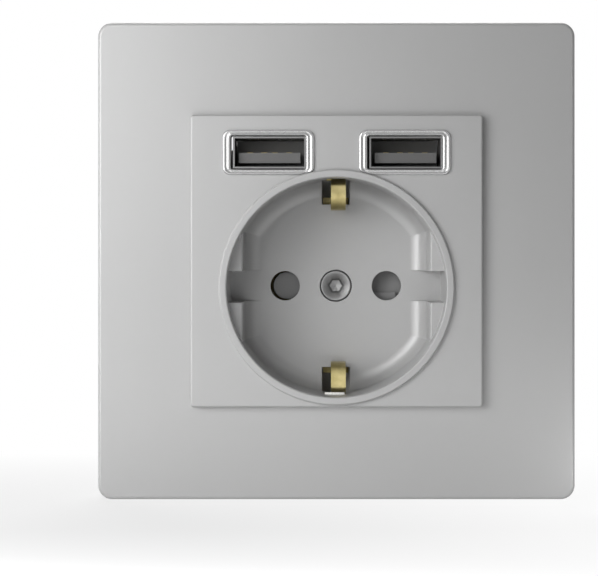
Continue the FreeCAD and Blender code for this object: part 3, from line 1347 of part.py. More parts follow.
def make_transformer():
    """A closed ferrite frame, with the winding on its middle leg."""
    x, z = S["core_x"], S["core_z"]
    half, thick = S["core_width"] / 2, S["core_thickness"] / 2
    leg = S["core_leg"]
    front, back = power_front - S["core_height"], power_front
    frame = block("core_frame", (x - half, x + half), (front, back), (z - thick, z + thick))
    room_y = (front + leg, back - leg)
    room_z = (z - thick - 1, z + thick + 1)
    left_room = block("core_room_left", (x - half + leg, x - leg), room_y, room_z)
    right_room = block("core_room_right", (x + leg, x + half - leg), room_y, room_z)
    keep(cut("transformer_core", frame, left_room, right_room), "transformer_core")

    gap = S["coil_gap"]
    coil_half = half - leg - gap
    coil_rise = S["coil_rise"] / 2
    coil = block("coil_block", (x - coil_half, x + coil_half), (room_y[0] + gap, room_y[1] - gap),
                 (z - coil_rise, z + coil_rise))
    leg_room = block("coil_leg_room", (x - leg, x + leg), (front, back), (z - thick, z + thick))
    pins = []
    pin = S["coil_pin"] / 2
    for number, (across, up) in enumerate(((-1, -1), (1, -1), (-1, 1), (1, 1))):
        pin_at = x + across * (coil_half - 2 * pin)
        pin_up = z + up * (coil_rise - 2 * pin)
        pins.append(block("coil_pin_%d" % number, (pin_at - pin, pin_at + pin),
                          (room_y[1] - 2 * gap, back), (pin_up - pin, pin_up + pin)))
    keep(fuse("transformer_winding", cut("coil", coil, leg_room), *pins), "transformer_winding")


def make_choke():
    """A ferrite bobbin with its winding."""
    centre = (S["choke_x"], S["choke_z"])
    back = power_front
    front = back - S["choke_height"]
    flange = S["choke_flange"]
    inner = S["choke_core"] / 2
    outer = S["choke_width"] / 2
    wire = outer - S["choke_margin"]
    wound = (front + flange, back - flange)
    rods = [rod("choke_front_flange", "y", front, wound[0], centre, outer),
            rod("choke_middle", "y", front, back, centre, inner),
            rod("choke_back_flange", "y", wound[1], back, centre, outer)]
    keep(fuse("choke_core", *rods), "choke_core")
    winding = cut("choke_winding", rod("winding_outer", "y", wound[0], wound[1], centre, wire),
                  rod("winding_inner", "y", front, back, centre, inner))
    keep(winding, "choke_winding")


def flat_package(name):
    """A moulded package that lies flat on the power board."""
    x, z = S[name + "_x"], S[name + "_z"]
    half_x, half_z = S[name + "_width"] / 2, S[name + "_rise"] / 2
    keep(block(name, (x - half_x, x + half_x), (power_front - S[name + "_height"], power_front),
               (z - half_z, z + half_z)), name)


def make_components():
    """The charger's parts. Places are X and Z on the power board."""
    make_transformer()
    standing_can("input_capacitor", S["input_can_width"] / 2, S["input_can_height"])
    standing_can("output_capacitor_upper", S["output_can_width"] / 2, S["output_can_height"])
    standing_can("output_capacitor_lower", S["output_can_width"] / 2, S["output_can_height"])
    make_choke()
    flat_package("bridge_rectifier")
    flat_package("controller_chip")

    # Suppression capacitor: an upright disc on two legs
    x, z = S["suppressor_x"], S["suppressor_z"]
    radius, half = S["suppressor_width"] / 2, S["suppressor_thickness"] / 2
    leg = S["suppressor_leg"] / 2
    middle_y = power_front - S["suppressor_height"] + radius
    disc = rod("suppressor_disc", "x", x - half, x + half, (middle_y, z), radius)
    legs = []
    for number, side in enumerate((-1, 1)):
        leg_z = z + side * radius * 0.6
        legs.append(block("suppressor_leg_%d" % number, (x - leg, x + leg), (middle_y, power_front),
                          (leg_z - leg, leg_z + leg)))
    keep(fuse("suppression_capacitor", disc, *legs), "suppression_capacitor")

    # Fuse resistor: a small rod lying between its bent leads
    fuse_y = power_front - S["fuse_height"]
    half = S["fuse_length"] / 2
    lead = S["fuse_lead"] / 2
    reach = half + S["fuse_lead"]
    tube = rod("fuse_tube", "x", -half, half, (fuse_y, recess_z), S["fuse_width"] / 2)
    wire = block("fuse_wire", (-reach, reach), (fuse_y - lead, fuse_y + lead),
                 (recess_z - lead, recess_z + lead))
    ends = []
    for number, (low, high) in enumerate(((-reach, -half), (half, reach))):
        ends.append(block("fuse_end_%d" % number, (low, high), (fuse_y - lead, power_front),
                          (recess_z - lead, recess_z + lead)))
    keep(fuse("fuse_resistor", tube, wire, *ends), "fuse_resistor")


def claw_points():
    """The claw's bend, as X and Y, from its pivot to its rear end."""
    pivot_x = S["claw_pivot_x"] - S["claw_sheet"] / 2
    straight_end = S["claw_pivot_y"] + S["claw_bridge"] - S["claw_sheet"] / 2
    return [
        (pivot_x, S["claw_pivot_y"] - S["claw_sheet"] / 2),
        (pivot_x, straight_end),
        (S["claw_knee_x"] - S["claw_sheet"] / 2, S["claw_knee_y"]),
        (S["claw_tip_x"] - S["claw_sheet"] / 2, S["claw_tip_y"]),
    ]


def make_claws():
    """The right claw, screw and nut, and the left ones as their mirror images."""
    half = S["claw_width"] / 2
    slot = S["claw_slot"] / 2
    strip = bent_strip("claw_sheet_strip", TOP, claw_points(), S["claw_sheet"], -half, half)
    pivot = (S["claw_pivot_x"], S["claw_pivot_y"])
    reach = half + S["lug_gap"] + S["tab_thickness"] + S["trunnion_gap"]
    trunnions = [rod("trunnion_%d" % number, "z", start, end, pivot, S["trunnion_radius"])
                 for number, (start, end) in enumerate(((-reach, -half + 1), (half - 1, reach)))]
    straight_end = claw_points()[1][1]
    fork = block("claw_fork_room", (S["claw_knee_x"] - 4, S["claw_tip_x"] + 4),
                 (straight_end, S["claw_tip_y"] + 4), (-slot, slot))
    claw = cut("claw_right", fuse("claw_blank", strip, *trunnions), fork)
    keep(claw, "claw_right")
    keep(mirrored("claw_left", claw), "claw_left")

    centre = (S["claw_screw_x"], ZERO)
    radius = S["claw_screw_size"] / 2
    head_front = yoke_front - S["claw_head_height"]
    head = rod("claw_screw_head", "y", head_front, yoke_front, centre, S["claw_head"] / 2)
    shank = rod("claw_screw_shank", "y", yoke_front, S["claw_screw_end"], centre, radius)
    depth = S["claw_head_height"] * 0.55
    cross = cross_recess("claw_cross", S["claw_screw_x"], ZERO, head_front, depth, S["claw_head"] * 0.6)
    screw = cut("claw_screw_right", fuse("claw_screw_blank", head, shank), *cross)
    keep(screw, "claw_screw_right")
    keep(mirrored("claw_screw_left", screw), "claw_screw_left")

    half_x, half_z = S["nut_width"] / 2, S["nut_rise"] / 2
    x = S["claw_screw_x"]
    y0, y1 = S["nut_start"], S["nut_start"] + S["nut_length"]
    body = block("nut_block", (x - half_x, x + half_x), (y0, y1), (-half_z, half_z))
    thread = rod("nut_thread", "y", y0 - 1, y1 + 1, centre, radius + S["trunnion_gap"])
    nut = cut("claw_nut_right", body, thread)
    keep(nut, "claw_nut_right")
    keep(mirrored("claw_nut_left", nut), "claw_nut_left")


def check_document():
    doc.recompute()
    for thing in doc.Objects:
        if "Invalid" in thing.State or "Error" in thing.State:
            raise RuntimeError("%s: %s" % (thing.Name, thing.State))
    for name, thing in pieces:
        if thing.Shape.isNull() or not thing.Shape.isValid():
            raise RuntimeError("%s has no valid shape" % name)
        if not thing.Shape.Solids:
            raise RuntimeError("%s has no solid" % name)


def export_parts():
    os.makedirs("parts", exist_ok=True)
    for name, thing in pieces:
        thing.Shape.exportStep(os.path.join("parts", name + ".step"))
        print("%-26s %d solid(s), %8.2f mm3" % (name, len(thing.Shape.Solids), thing.Shape.Volume))


make_outer_frame()
make_cover_plate()
make_bezel(-1, "usb_bezel_left")
make_bezel(1, "usb_bezel_right")
make_centre_screw()
make_yoke()
make_housing()
make_rear_cover()
make_cover_screws()
make_shutter()
make_retainer()
make_spring()
make_earth_strap()
make_contacts()
make_clamp(-1, "live_clamp")
make_clamp(0, "earth_clamp")
make_clamp(1, "neutral_clamp")
make_port(-1, "left")
make_port(1, "right")
make_usb_board()
make_link_pins()
make_power_board()
make_components()
make_claws()
check_document()
export_parts()
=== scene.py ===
import json
import math
import bmesh
import bpy
from mathutils import Matrix, Vector


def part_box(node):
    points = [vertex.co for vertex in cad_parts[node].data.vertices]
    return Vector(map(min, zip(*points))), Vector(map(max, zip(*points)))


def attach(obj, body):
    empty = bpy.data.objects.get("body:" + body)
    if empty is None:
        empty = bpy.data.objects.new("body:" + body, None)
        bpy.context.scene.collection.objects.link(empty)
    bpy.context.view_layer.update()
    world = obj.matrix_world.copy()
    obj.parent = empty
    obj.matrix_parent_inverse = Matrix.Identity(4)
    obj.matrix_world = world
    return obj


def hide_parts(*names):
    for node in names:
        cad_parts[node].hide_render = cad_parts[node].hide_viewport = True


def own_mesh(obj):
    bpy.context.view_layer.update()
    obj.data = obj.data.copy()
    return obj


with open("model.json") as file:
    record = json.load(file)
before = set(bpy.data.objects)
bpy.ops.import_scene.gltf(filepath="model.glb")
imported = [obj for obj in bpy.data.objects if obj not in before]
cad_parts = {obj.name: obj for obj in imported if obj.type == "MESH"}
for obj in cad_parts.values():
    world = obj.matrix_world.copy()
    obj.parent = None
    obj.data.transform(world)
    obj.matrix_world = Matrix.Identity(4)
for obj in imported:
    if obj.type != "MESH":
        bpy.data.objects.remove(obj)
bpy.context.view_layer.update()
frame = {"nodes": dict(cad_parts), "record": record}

scene = bpy.context.scene
mm = 0.001
weld = 0.001 * mm    # corners closer than this are joined
bevelSamples = 6


class Sock:
    # one node socket that can be used in sums
    def __init__(self, tree, socket):
        self.tree = tree
        self.socket = socket

    def math(self, operation, other=None, flip=False):
        values = [self, other] if not flip else [other, self]
        return self.tree.add("ShaderNodeMath", {"operation": operation},
                             dict(enumerate(v for v in values if v is not None)))

    def __add__(self, other): return self.math("ADD", other)
    def __radd__(self, other): return self.math("ADD", other)
    def __sub__(self, other): return self.math("SUBTRACT", other)
    def __rsub__(self, other): return self.math("SUBTRACT", other, True)
    def __mul__(self, other): return self.math("MULTIPLY", other)
    def __rmul__(self, other): return self.math("MULTIPLY", other)
    def __truediv__(self, other): return self.math("DIVIDE", other)

    def clamped(self):
        return self.tree.add("ShaderNodeClamp", {}, {"Value": self})

    def absolute(self):
        return self.math("ABSOLUTE")

    def wave(self):
        return self.math("SINE")

    def beside(self, name):
        # another output of the same node
        return Sock(self.tree, self.socket.node.outputs[name])


class Tree:
    # builds the node tree of one material or of the world
    def __init__(self, owner, end="ShaderNodeOutputMaterial"):
        owner.use_nodes = True
        self.owner = owner
        self.nodes = owner.node_tree.nodes
        self.links = owner.node_tree.links
        self.nodes.clear()
        self.output = self.nodes.new(end)

    def add(self, kind, settings, inputs, output=0):
        node = self.nodes.new(kind)
        for key, value in settings.items():
            setattr(node, key, value)
        for key, value in inputs.items():
            self.feed(node.inputs[key], value)
        return Sock(self, node.outputs[output])

    def feed(self, target, value):
        if isinstance(value, Sock):
            self.links.new(value.socket, target)
        else:
            target.default_value = value

    def coords(self, stretch=(1, 1, 1)):
        # object coordinates in millimetres
        place = self.add("ShaderNodeTexCoord", {}, {}, "Object")
        sizes = tuple(s / mm for s in stretch)
        return self.add("ShaderNodeMapping", {}, {"Vector": place, "Scale": sizes})

    def noise(self, scale, detail=2.0, rough=0.5, stretch=(1, 1, 1)):
        return self.add("ShaderNodeTexNoise", {}, {"Vector": self.coords(stretch), "Scale": scale,
                                                   "Detail": detail, "Roughness": rough}, "Fac")

    def mix(self, factor, first, second):
        colours = [(*c, 1) if isinstance(c, tuple) else c for c in (first, second)]
        return self.add("ShaderNodeMix", {"data_type": "RGBA"}, {0: factor, 6: colours[0], 7: colours[1]}, 2)

    def bump(self, height, distance, strength=1.0, edge=0.0):
        # edge in millimetres breaks sharp edges so that they catch the light
        inputs = {"Height": height, "Distance": distance, "Strength": strength}
        if edge:
            inputs["Normal"] = self.add("ShaderNodeBevel", {"samples": bevelSamples}, {"Radius": edge * mm})
        return self.add("ShaderNodeBump", {}, inputs)

    def seenRays(self):
        # 1 for what the camera sees, straight or in a mirror or glass
        path = self.add("ShaderNodeLightPath", {}, {}, "Is Camera Ray")
        mirrored = path.beside("Is Glossy Ray").math("MAXIMUM", path.beside("Is Transmission Ray"))
        return path.math("MAXIMUM", mirrored)

    def surface(self, shader):
        self.links.new(shader.socket, self.output.inputs["Surface"])
        return self.owner

    def principled(self, **inputs):
        names = {key.replace("_", " "): value for key, value in inputs.items()}
        return self.surface(self.add("ShaderNodeBsdfPrincipled", {}, names))


def newTree(name):
    return Tree(bpy.data.materials.new(name))


def shade(colour, factor):
    return tuple(min(1.0, channel * factor) for channel in colour)


# in the looks: scale, detail and roughness of each noise, shares of tone and height, depth in metres
lacquerLook = {"cloud": (0.05, 3, 0.6), "peel": (1.6, 2, 0.5), "grain": (14.0, 1, 0.5),
               "tones": (0.985, 1.015), "smoother": 0.03, "cloudRough": 0.04, "grainRough": 0.02,
               "peelHeight": 0.6, "grainHeight": 0.4, "depth": 0.000006, "strength": 0.35, "edge": 0.16}


def lacquer(name, colour, roughness=0.38, metallic=0.15):
    # sprayed satin lacquer: faint orange peel and a slightly cloudy tone
    look = lacquerLook
    tree = newTree(name)
    cloud = tree.noise(*look["cloud"])
    peel = tree.noise(*look["peel"])
    grain = tree.noise(*look["grain"])
    tone = tree.mix(cloud, *(shade(colour, share) for share in look["tones"]))
    rough = roughness - look["smoother"] + cloud * look["cloudRough"] + grain * look["grainRough"]
    height = peel * look["peelHeight"] + grain * look["grainHeight"]
    return tree.principled(Base_Color=tone, Roughness=rough, Metallic=metallic,
                           Normal=tree.bump(height, look["depth"], look["strength"], look["edge"]))


mouldedLook = {"cloud": (0.08, 2, 0.5), "texture": (3, 0.6), "tones": (0.96, 1.04), "smoother": 0.05,
               "rougher": 0.1, "strength": 0.5}


def moulded(name, colour, roughness=0.5, grain=5.0, depth=0.00001):
    # the fine texture of an eroded mould
    look = mouldedLook
    tree = newTree(name)
    cloud = tree.noise(*look["cloud"])
    texture = tree.noise(grain, *look["texture"])
    tone = tree.mix(cloud, *(shade(colour, share) for share in look["tones"]))
    rough = roughness - look["smoother"] + texture * look["rougher"]
    return tree.principled(Base_Color=tone, Roughness=rough,
                           Normal=tree.bump(texture, depth, look["strength"]))


metalLook = {"lines": (9.0, 3, 0.6), "cloud": (0.25, 4, 0.6), "cleanFrom": 0.42, "cleanSlope": 3.0,
             "lineShare": 0.25, "lineTone": 1.12, "dullRough": 0.12, "lineRough": 0.06,
             "depth": 0.000004, "strength": 0.4}


def metal(name, colour, roughness=0.3, stretch=(1, 1, 0.05), stain=0.12, tarnish=None):
    # drawn or rolled sheet with fine lines along the grain and a few dull patches
    look = metalLook
    tree = newTree(name)
    lines = tree.noise(*look["lines"], stretch)
    cloud = tree.noise(*look["cloud"])
    clean = ((cloud - look["cleanFrom"]) * look["cleanSlope"]).clamped()
    tone = tree.mix(clean, tarnish or shade(colour, 1 - 2 * stain), colour)
    tone = tree.mix(lines * look["lineShare"], tone, shade(colour, look["lineTone"]))
    rough = roughness + (1 - clean) * look["dullRough"] + lines * look["lineRough"]
    return tree.principled(Base_Color=tone, Metallic=1.0, Roughness=rough,
                           Normal=tree.bump(lines, look["depth"], look["strength"]))


maskLook = {"cells": 0.42, "random": 0.35, "waves": 9, "trackFrom": 0.35, "trackSlope": 4,
            "tones": (0.7, 1.25), "rough": 0.32, "depth": 0.00003, "strength": 0.5}


def solderMask(name, colour):
    # green lacquer over copper tracks
    look = maskLook
    tree = newTree(name)
    cell = tree.add("ShaderNodeTexVoronoi", {"feature": "F1", "distance": "MANHATTAN"}, {
        "Vector": tree.coords(), "Scale": look["cells"], "Randomness": look["random"]}, "Distance")
    track = (((cell * look["waves"]).wave() - look["trackFrom"]) * look["trackSlope"]).clamped()
    tone = tree.mix(track, *(shade(colour, share) for share in look["tones"]))
    return tree.principled(Base_Color=tone, Roughness=look["rough"],
                           Normal=tree.bump(track, look["depth"], look["strength"]))


woundLook = {"cloud": (0.6, 2, 0.5), "between": 0.55, "cloudShare": 0.2, "cloudTone": 0.7, "rough": 0.34,
             "depth": 0.00006, "strength": 0.8}


def wound(name, colour, pitch, axis, metallic):
    # closely wound wire or tape, with a groove every half pitch, in millimetres; painted shade darkens the
    # grooves between the turns
    look = woundLook
    tree = newTree(name)
    along = tree.add("ShaderNodeSeparateXYZ", {}, {0: tree.coords()}, axis)
    turn = (along * (2 * math.pi / pitch)).wave().absolute()
    cloud = tree.noise(*look["cloud"])
    # painted shade: darker in the grooves between the turns
    tone = tree.mix(turn, shade(colour, look["between"]), colour)
    tone = tree.mix(cloud * look["cloudShare"], tone, shade(colour, look["cloudTone"]))
    return tree.principled(Base_Color=tone, Roughness=look["rough"], Metallic=metallic,
                           Normal=tree.bump(turn, look["depth"], look["strength"]))


finishes = {
    "lacquer": lacquer("satinGreyLacquer", (0.40, 0.40, 0.40)),
    "satin_trim": lacquer("satinTrim", (0.46, 0.46, 0.46), 0.2, 0.8),
    "zinc_steel": metal("zincSheet", (0.62, 0.63, 0.62), 0.34, (1, 0.05, 1)),
    "screw_steel": metal("zincScrew", (0.55, 0.55, 0.54), 0.28, (1, 1, 1)),
    "nickel_sheet": metal("nickelSheet", (0.52, 0.52, 0.51), 0.3, (1, 0.05, 1)),
    "housing_plastic": moulded("housingThermoset", (0.60, 0.60, 0.58), 0.52),
    "shutter_plastic": moulded("shutterPlastic", (0.17, 0.17, 0.17), 0.45),
    "retainer_plastic": moulded("retainerPlastic", (0.25, 0.25, 0.25), 0.5),
    "spring_steel": metal("springSteel", (0.5, 0.5, 0.5), 0.25),
    "contact_brass": metal("contactBrass", (0.62, 0.54, 0.28), 0.34, (1, 0.06, 1), 0.2,
                           (0.36, 0.30, 0.13)),
    "clamp_brass": metal("clampBrass", (0.62, 0.50, 0.26), 0.32, (0.05, 1, 1), 0.1),
    "port_plastic": moulded("portInsulator", (0.10, 0.10, 0.10), 0.42),
    "gilt_strip": metal("giltStrip", (0.80, 0.62, 0.25), 0.22, (1, 0.05, 1), 0.05),
    "board": solderMask("solderMask", (0.03, 0.20, 0.09)),
    "dark_plastic": moulded("packagePlastic", (0.03, 0.03, 0.03), 0.5, 8.0),
    "ferrite": moulded("ferrite", (0.055, 0.055, 0.06), 0.6, 3.0, 0.00003),
    "winding_tape": wound("windingTape", (0.68, 0.50, 0.10), 3.0, 2, 0.0),
    "copper_wire": wound("copperWire", (0.50, 0.19, 0.07), 0.9, 1, 0.6),
    "can_sleeve": moulded("canSleeve", (0.03, 0.04, 0.09), 0.28),
    "blue_coating": moulded("dippedCoating", (0.03, 0.12, 0.40), 0.25, 1.5),
    "resistor_coating": moulded("resistorCoating", (0.13, 0.32, 0.25), 0.4, 2.0),
}
# painted shade: these nodes get darker copies of their slot's finish, because little light reaches them
shadePaintedFinishes = {
    "usb_shell_left": metal("shadedShellSheetLeft", (0.24, 0.24, 0.24), 0.3, (1, 0.05, 1)),
    "usb_shell_right": metal("shadedShellSheetRight", (0.24, 0.24, 0.24), 0.3, (1, 0.05, 1)),
    "live_contact": metal("shadedSleeveBrassLive", (0.16, 0.13, 0.07), 0.4, (1, 0.06, 1)),
    "neutral_contact": metal("shadedSleeveBrassNeutral", (0.16, 0.13, 0.07), 0.4, (1, 0.06, 1)),
}
headSteel = metal("headSteel", (0.30, 0.30, 0.30), 0.42, (1, 1, 1), 0.05)
slotOf = {row["node"]: row["material_slot"] for row in frame["record"]["subparts"]}
for nodeName, nodeObject in frame["nodes"].items():
    for materialSlot in nodeObject.material_slots:
        materialSlot.material = shadePaintedFinishes.get(nodeName, finishes[slotOf[nodeName]])
print("finishes on", len(frame["nodes"]), "nodes")


def placed(name, data):
    thing = bpy.data.objects.new(name, data)
    scene.collection.objects.link(thing)
    return thing


def meshFrom(builder, name):
    mesh = bpy.data.meshes.new(name)
    builder.to_mesh(mesh)
    builder.free()
    return mesh


def settled(holder):
    # the mesh with its modifiers applied, in place of its holder
    graph = bpy.context.evaluated_depsgraph_get()
    mesh = bpy.data.meshes.new_from_object(holder.evaluated_get(graph))
    holder.modifiers.clear()
    bpy.data.objects.remove(holder)
    return mesh


class GeoTree:
    # builds one geometry node tree with named inputs
    def __init__(self, name, inputs):
        self.group = bpy.data.node_groups.new(name, "GeometryNodeTree")
        face = self.group.interface
        face.new_socket("Geometry", in_out="OUTPUT", socket_type="NodeSocketGeometry")
        self.idOf = {}
        for label, value in inputs.items():
            kind = "NodeSocketInt" if isinstance(value, int) else "NodeSocketFloat"
            item = face.new_socket(label, in_out="INPUT", socket_type=kind)
            item.default_value = value
            self.idOf[label] = item.identifier
        self.start = self.group.nodes.new("NodeGroupInput")
        self.end = self.group.nodes.new("NodeGroupOutput")

    def size(self, label):
        return self.start.outputs[label]

    def add(self, kind, settings, inputs, output=0):
        node = self.group.nodes.new(kind)
        for key, value in settings.items():
            setattr(node, key, value)
        for key, value in inputs.items():
            if isinstance(value, bpy.types.NodeSocket):
                self.group.links.new(value, node.inputs[key])
            else:
                node.inputs[key].default_value = value
        return node.outputs[output]

    def vector(self, x=0.0, y=0.0, z=0.0):
        return self.add("ShaderNodeCombineXYZ", {}, {0: x, 1: y, 2: z})

    def finish(self, geometry, material):
        real = self.add("GeometryNodeRealizeInstances", {}, {0: geometry})
        painted = self.add("GeometryNodeSetMaterial", {}, {0: real, "Material": material})
        self.group.links.new(painted, self.end.inputs[0])
        return self

    def make(self, name, sizes, place):
        # evaluates the tree and hands back a plain mesh with its place baked in
        holder = placed(name + "Holder", bpy.data.meshes.new(name + "Holder"))
        modifier = holder.modifiers.new("shape", "NODES")
        modifier.node_group = self.group
        for label, value in sizes.items():
            modifier[self.idOf[label]] = value
        mesh = settled(holder)
        mesh.transform(place)
        mesh.name = name
        return mesh


def addPiece(name, meshes, body, slot):
    # one object from several meshes, riding on a body
    builder = bmesh.new()
    for mesh in meshes:
        builder.from_mesh(mesh)
    bmesh.ops.recalc_face_normals(builder, faces=builder.faces)
    joined = meshFrom(builder, name)
    joined.materials.append(finishes[slot])
    piece = placed(name, joined)
    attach(piece, body)
    return piece


def moved(x, y, z):
    return Matrix.Translation(Vector((x, y, z)) * mm)


def nodeBox(name):
    low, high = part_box(name)
    return [c / mm for c in low], [c / mm for c in high]


def middleOf(name):
    low, high = nodeBox(name)
    return [(a + b) / 2 for a, b in zip(low, high)]


alongY = Matrix.Rotation(math.radians(-90), 4, "X")    # turns Z to +Y


wireSides = 6


def spiralTree(name, slot, steps):
    # a round wire that follows a helix
    tree = GeoTree(name, {"Turns": 10.0, "Radius": 0.0015, "Height": 0.02, "Wire": 0.0001})
    path = tree.add("GeometryNodeCurveSpiral", {}, {
        "Resolution": steps, "Rotations": tree.size("Turns"), "Start Radius": tree.size("Radius"),
        "End Radius": tree.size("Radius"), "Height": tree.size("Height")})
    ring = tree.add("GeometryNodeCurvePrimitiveCircle", {}, {"Resolution": wireSides,
                                                             "Radius": tree.size("Wire")})
    tube = tree.add("GeometryNodeCurveToMesh", {}, {"Curve": path, "Profile Curve": ring, "Fill Caps": True})
    return tree.finish(tube, finishes[slot])


def spiral(tree, name, start, turned, length, pitch, radius, wire):
    return tree.make(name, {"Turns": length / pitch, "Radius": radius * mm, "Height": length * mm,
                            "Wire": wire * mm}, moved(*start) @ turned)


thread = {"pitch": 0.5, "ridge": 0.09, "sunk": 0.04, "runOut": 0.3, "clawScrew": 1.5, "clampScrew": 1.75,
          "belowClamp": 0.5, "steps": 20}


def makeThreads():
    # ridges on the claw screws and clamp screws
    tree = spiralTree("threadRidge", "screw_steel", thread["steps"])
    for side in ("left", "right"):
        x, y, z = middleOf("claw_screw_" + side)
        end = nodeBox("claw_screw_" + side)[1][1] - thread["runOut"]
        mesh = spiral(tree, "clawThread", (x, thread["runOut"], z), alongY, end - thread["runOut"],
                      thread["pitch"], thread["clawScrew"] - thread["sunk"], thread["ridge"])
        addPiece("clawScrewThread_" + side, [mesh], "socket", "screw_steel")
    for name in ("live", "earth", "neutral"):
        x, y, z = middleOf(name + "_clamp_screw")
        top = nodeBox(name + "_clamp_screw")[1][2] - thread["runOut"]
        low = nodeBox(name + "_clamp")[0][2] - thread["belowClamp"]
        mesh = spiral(tree, "clampThread", (x, y, low), Matrix.Identity(4), top - low,
                      thread["pitch"], thread["clampScrew"] - thread["sunk"], thread["ridge"])
        addPiece(name + "ClampScrewThread", [mesh], "socket", "screw_steel")


chokeWire = {"pitch": 0.44, "wire": 0.21, "margin": 0.3, "steps": 32}


def makeChokeTurns():
    # the choke's outer layer of wire
    tree = spiralTree("chokeWire", "copper_wire", chokeWire["steps"])
    low, high = nodeBox("choke_winding")
    x, y, z = middleOf("choke_winding")
    radius = (high[0] - low[0]) / 2 - chokeWire["wire"] / 2
    mesh = spiral(tree, "chokeTurns", (x, low[1] + chokeWire["margin"], z), alongY,
                  high[1] - low[1] - 2 * chokeWire["margin"], chokeWire["pitch"], radius, chokeWire["wire"])
    addPiece("chokeTurns", [mesh], "socket", "copper_wire")


def coneRowTree(name, slot, vertices):
    # cones in a row along X, their tips along Z
    tree = GeoTree(name, {"Count": 4, "Pitch": 0.00254, "Foot": 0.0007, "Tip": 0.0003, "Height": 0.0005})
    row = tree.add("GeometryNodeMeshLine", {}, {"Count": tree.size("Count"),
                                                "Offset": tree.vector(x=tree.size("Pitch"))})
    cone = tree.add("GeometryNodeMeshCone", {}, {
        "Vertices": vertices, "Radius Top": tree.size("Tip"), "Radius Bottom": tree.size("Foot"),
        "Depth": tree.size("Height")})
    spread = tree.add("GeometryNodeInstanceOnPoints", {}, {"Points": row, "Instance": cone})
    return tree.finish(spread, finishes[slot])


def coneRow(tree, name, row, place):
    sizes = {"Count": row["count"]}
    for label in ("Pitch", "Foot", "Tip", "Height"):
        sizes[label] = row[label.lower()] * mm
    start = moved(-row["pitch"] * (row["count"] - 1) / 2, 0, -row["sunk"])
    return tree.make(name, sizes, place @ start)


solder = {"count": 4, "pitch": 2.54, "foot": 0.75, "tip": 0.36, "height": 0.5, "sunk": 0.0, "sides": 14}


def makeSolderJoints():
    # one low cone of solder round each link pin, behind the power board
    tree = coneRowTree("solderRow", "nickel_sheet", solder["sides"])
    x, y, z = middleOf("link_pins")
    mesh = coneRow(tree, "solder", solder, moved(x, nodeBox("power_board")[1][1], z) @ alongY)
    addPiece("linkPinSolder", [mesh], "socket", "nickel_sheet")


tooth = {"count": 3, "pitch": 0.92, "foot": 0.6, "tip": 0.05, "height": 0.95, "sunk": 0.3,
         "prongAt": 3.6, "lean": 20.8, "sheet": 1.4, "sides": 4}


def makeClawTeeth():
    # three teeth on the end of each prong, which bite into the wall box
    tree = coneRowTree("toothRow", "zinc_steel", tooth["sides"])
    lean = math.radians(tooth["lean"])
    for side, word in ((-1, "left"), (1, "right")):
        low, high = nodeBox("claw_" + word)
        outer = high[0] if side > 0 else -low[0]
        x = side * (outer - tooth["sheet"] / 2 * math.cos(lean))
        y = high[1] - tooth["sheet"] / 2 * math.sin(lean)
        upward = Vector((0, 0, 1))
        outward = Vector((side * math.sin(lean), math.cos(lean), 0))
        turned = Matrix((upward, outward.cross(upward), outward)).transposed().to_4x4()
        meshes = [coneRow(tree, "teeth", tooth, moved(x, y, prong * tooth["prongAt"]) @ turned)
                  for prong in (-1, 1)]
        addPiece("clawTeeth_" + word, meshes, "claw_" + word, "zinc_steel")


lobeCount = 6


def turnedMesh(name, profile, middle, steps, lobes=0.0, lobed=0):
    # revolves (radius, y) points about a line along Y; lobes deepens the first, lobed rings to a star
    builder = bmesh.new()
    rings = []
    for place, (radius, y) in enumerate(profile):
        if radius == 0:
            rings.append([builder.verts.new((middle[0] * mm, y * mm, middle[2] * mm))])
            continue
        ring = []
        for step in range(steps):
            angle = 2 * math.pi * step / steps
            wide = radius * (1 + lobes * math.cos(lobeCount * angle)) if place < lobed else radius
            ring.append(builder.verts.new(((middle[0] + wide * math.cos(angle)) * mm, y * mm,
                                           (middle[2] + wide * math.sin(angle)) * mm)))
        rings.append(ring)
    for near, far in zip(rings, rings[1:]):
        for step in range(steps):
            after = (step + 1) % steps
            corners = [near[step % len(near)], near[after % len(near)],
                       far[after % len(far)], far[step % len(far)]]
            builder.faces.new(list(dict.fromkeys(corners)))
    bmesh.ops.recalc_face_normals(builder, faces=builder.faces)
    mesh = meshFrom(builder, name)
    for face in mesh.polygons:
        face.use_smooth = len(face.vertices) == 4
    return mesh


can = {"steps": 40, "shoulder": 0.7, "shoulderSteps": 4, "grooveAt": 1.9, "grooveWidth": 0.9,
       "grooveDepth": 0.45, "grooveSteps": 8, "lip": 0.25, "lipInside": 0.5, "lipOutside": 0.4}


def makeCans():
    # electrolytic cans: shrunk sleeve with a crimped groove, its lip round a bare top
    for name in ("input_capacitor", "output_capacitor_upper", "output_capacitor_lower"):
        low, high = nodeBox(name)
        middle = middleOf(name)
        radius = (high[0] - low[0]) / 2
        top, foot = low[1], high[1]
        groove = foot - can["grooveAt"]
        profile = [(0, top + can["lip"]), (radius - can["shoulder"] - can["lipInside"], top + can["lip"]),
                   (radius - can["shoulder"] - can["lipOutside"], top)]
        for step in range(can["shoulderSteps"] + 1):
            angle = math.radians(90 * step / can["shoulderSteps"])
            profile.append((radius - can["shoulder"] * (1 - math.sin(angle)),
                            top + can["shoulder"] * (1 - math.cos(angle))))
        for step in range(can["grooveSteps"] + 1):
            along = step / can["grooveSteps"] - 0.5
            depth = can["grooveDepth"] * (1 + math.cos(2 * math.pi * along)) / 2
            profile.append((radius - depth, groove + along * can["grooveWidth"]))
        profile += [(radius, foot), (0, foot)]
        piece = addPiece(name + "Can", [turnedMesh(name + "Can", profile, middle, can["steps"])],
                         "socket", "can_sleeve")
        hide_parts(name)


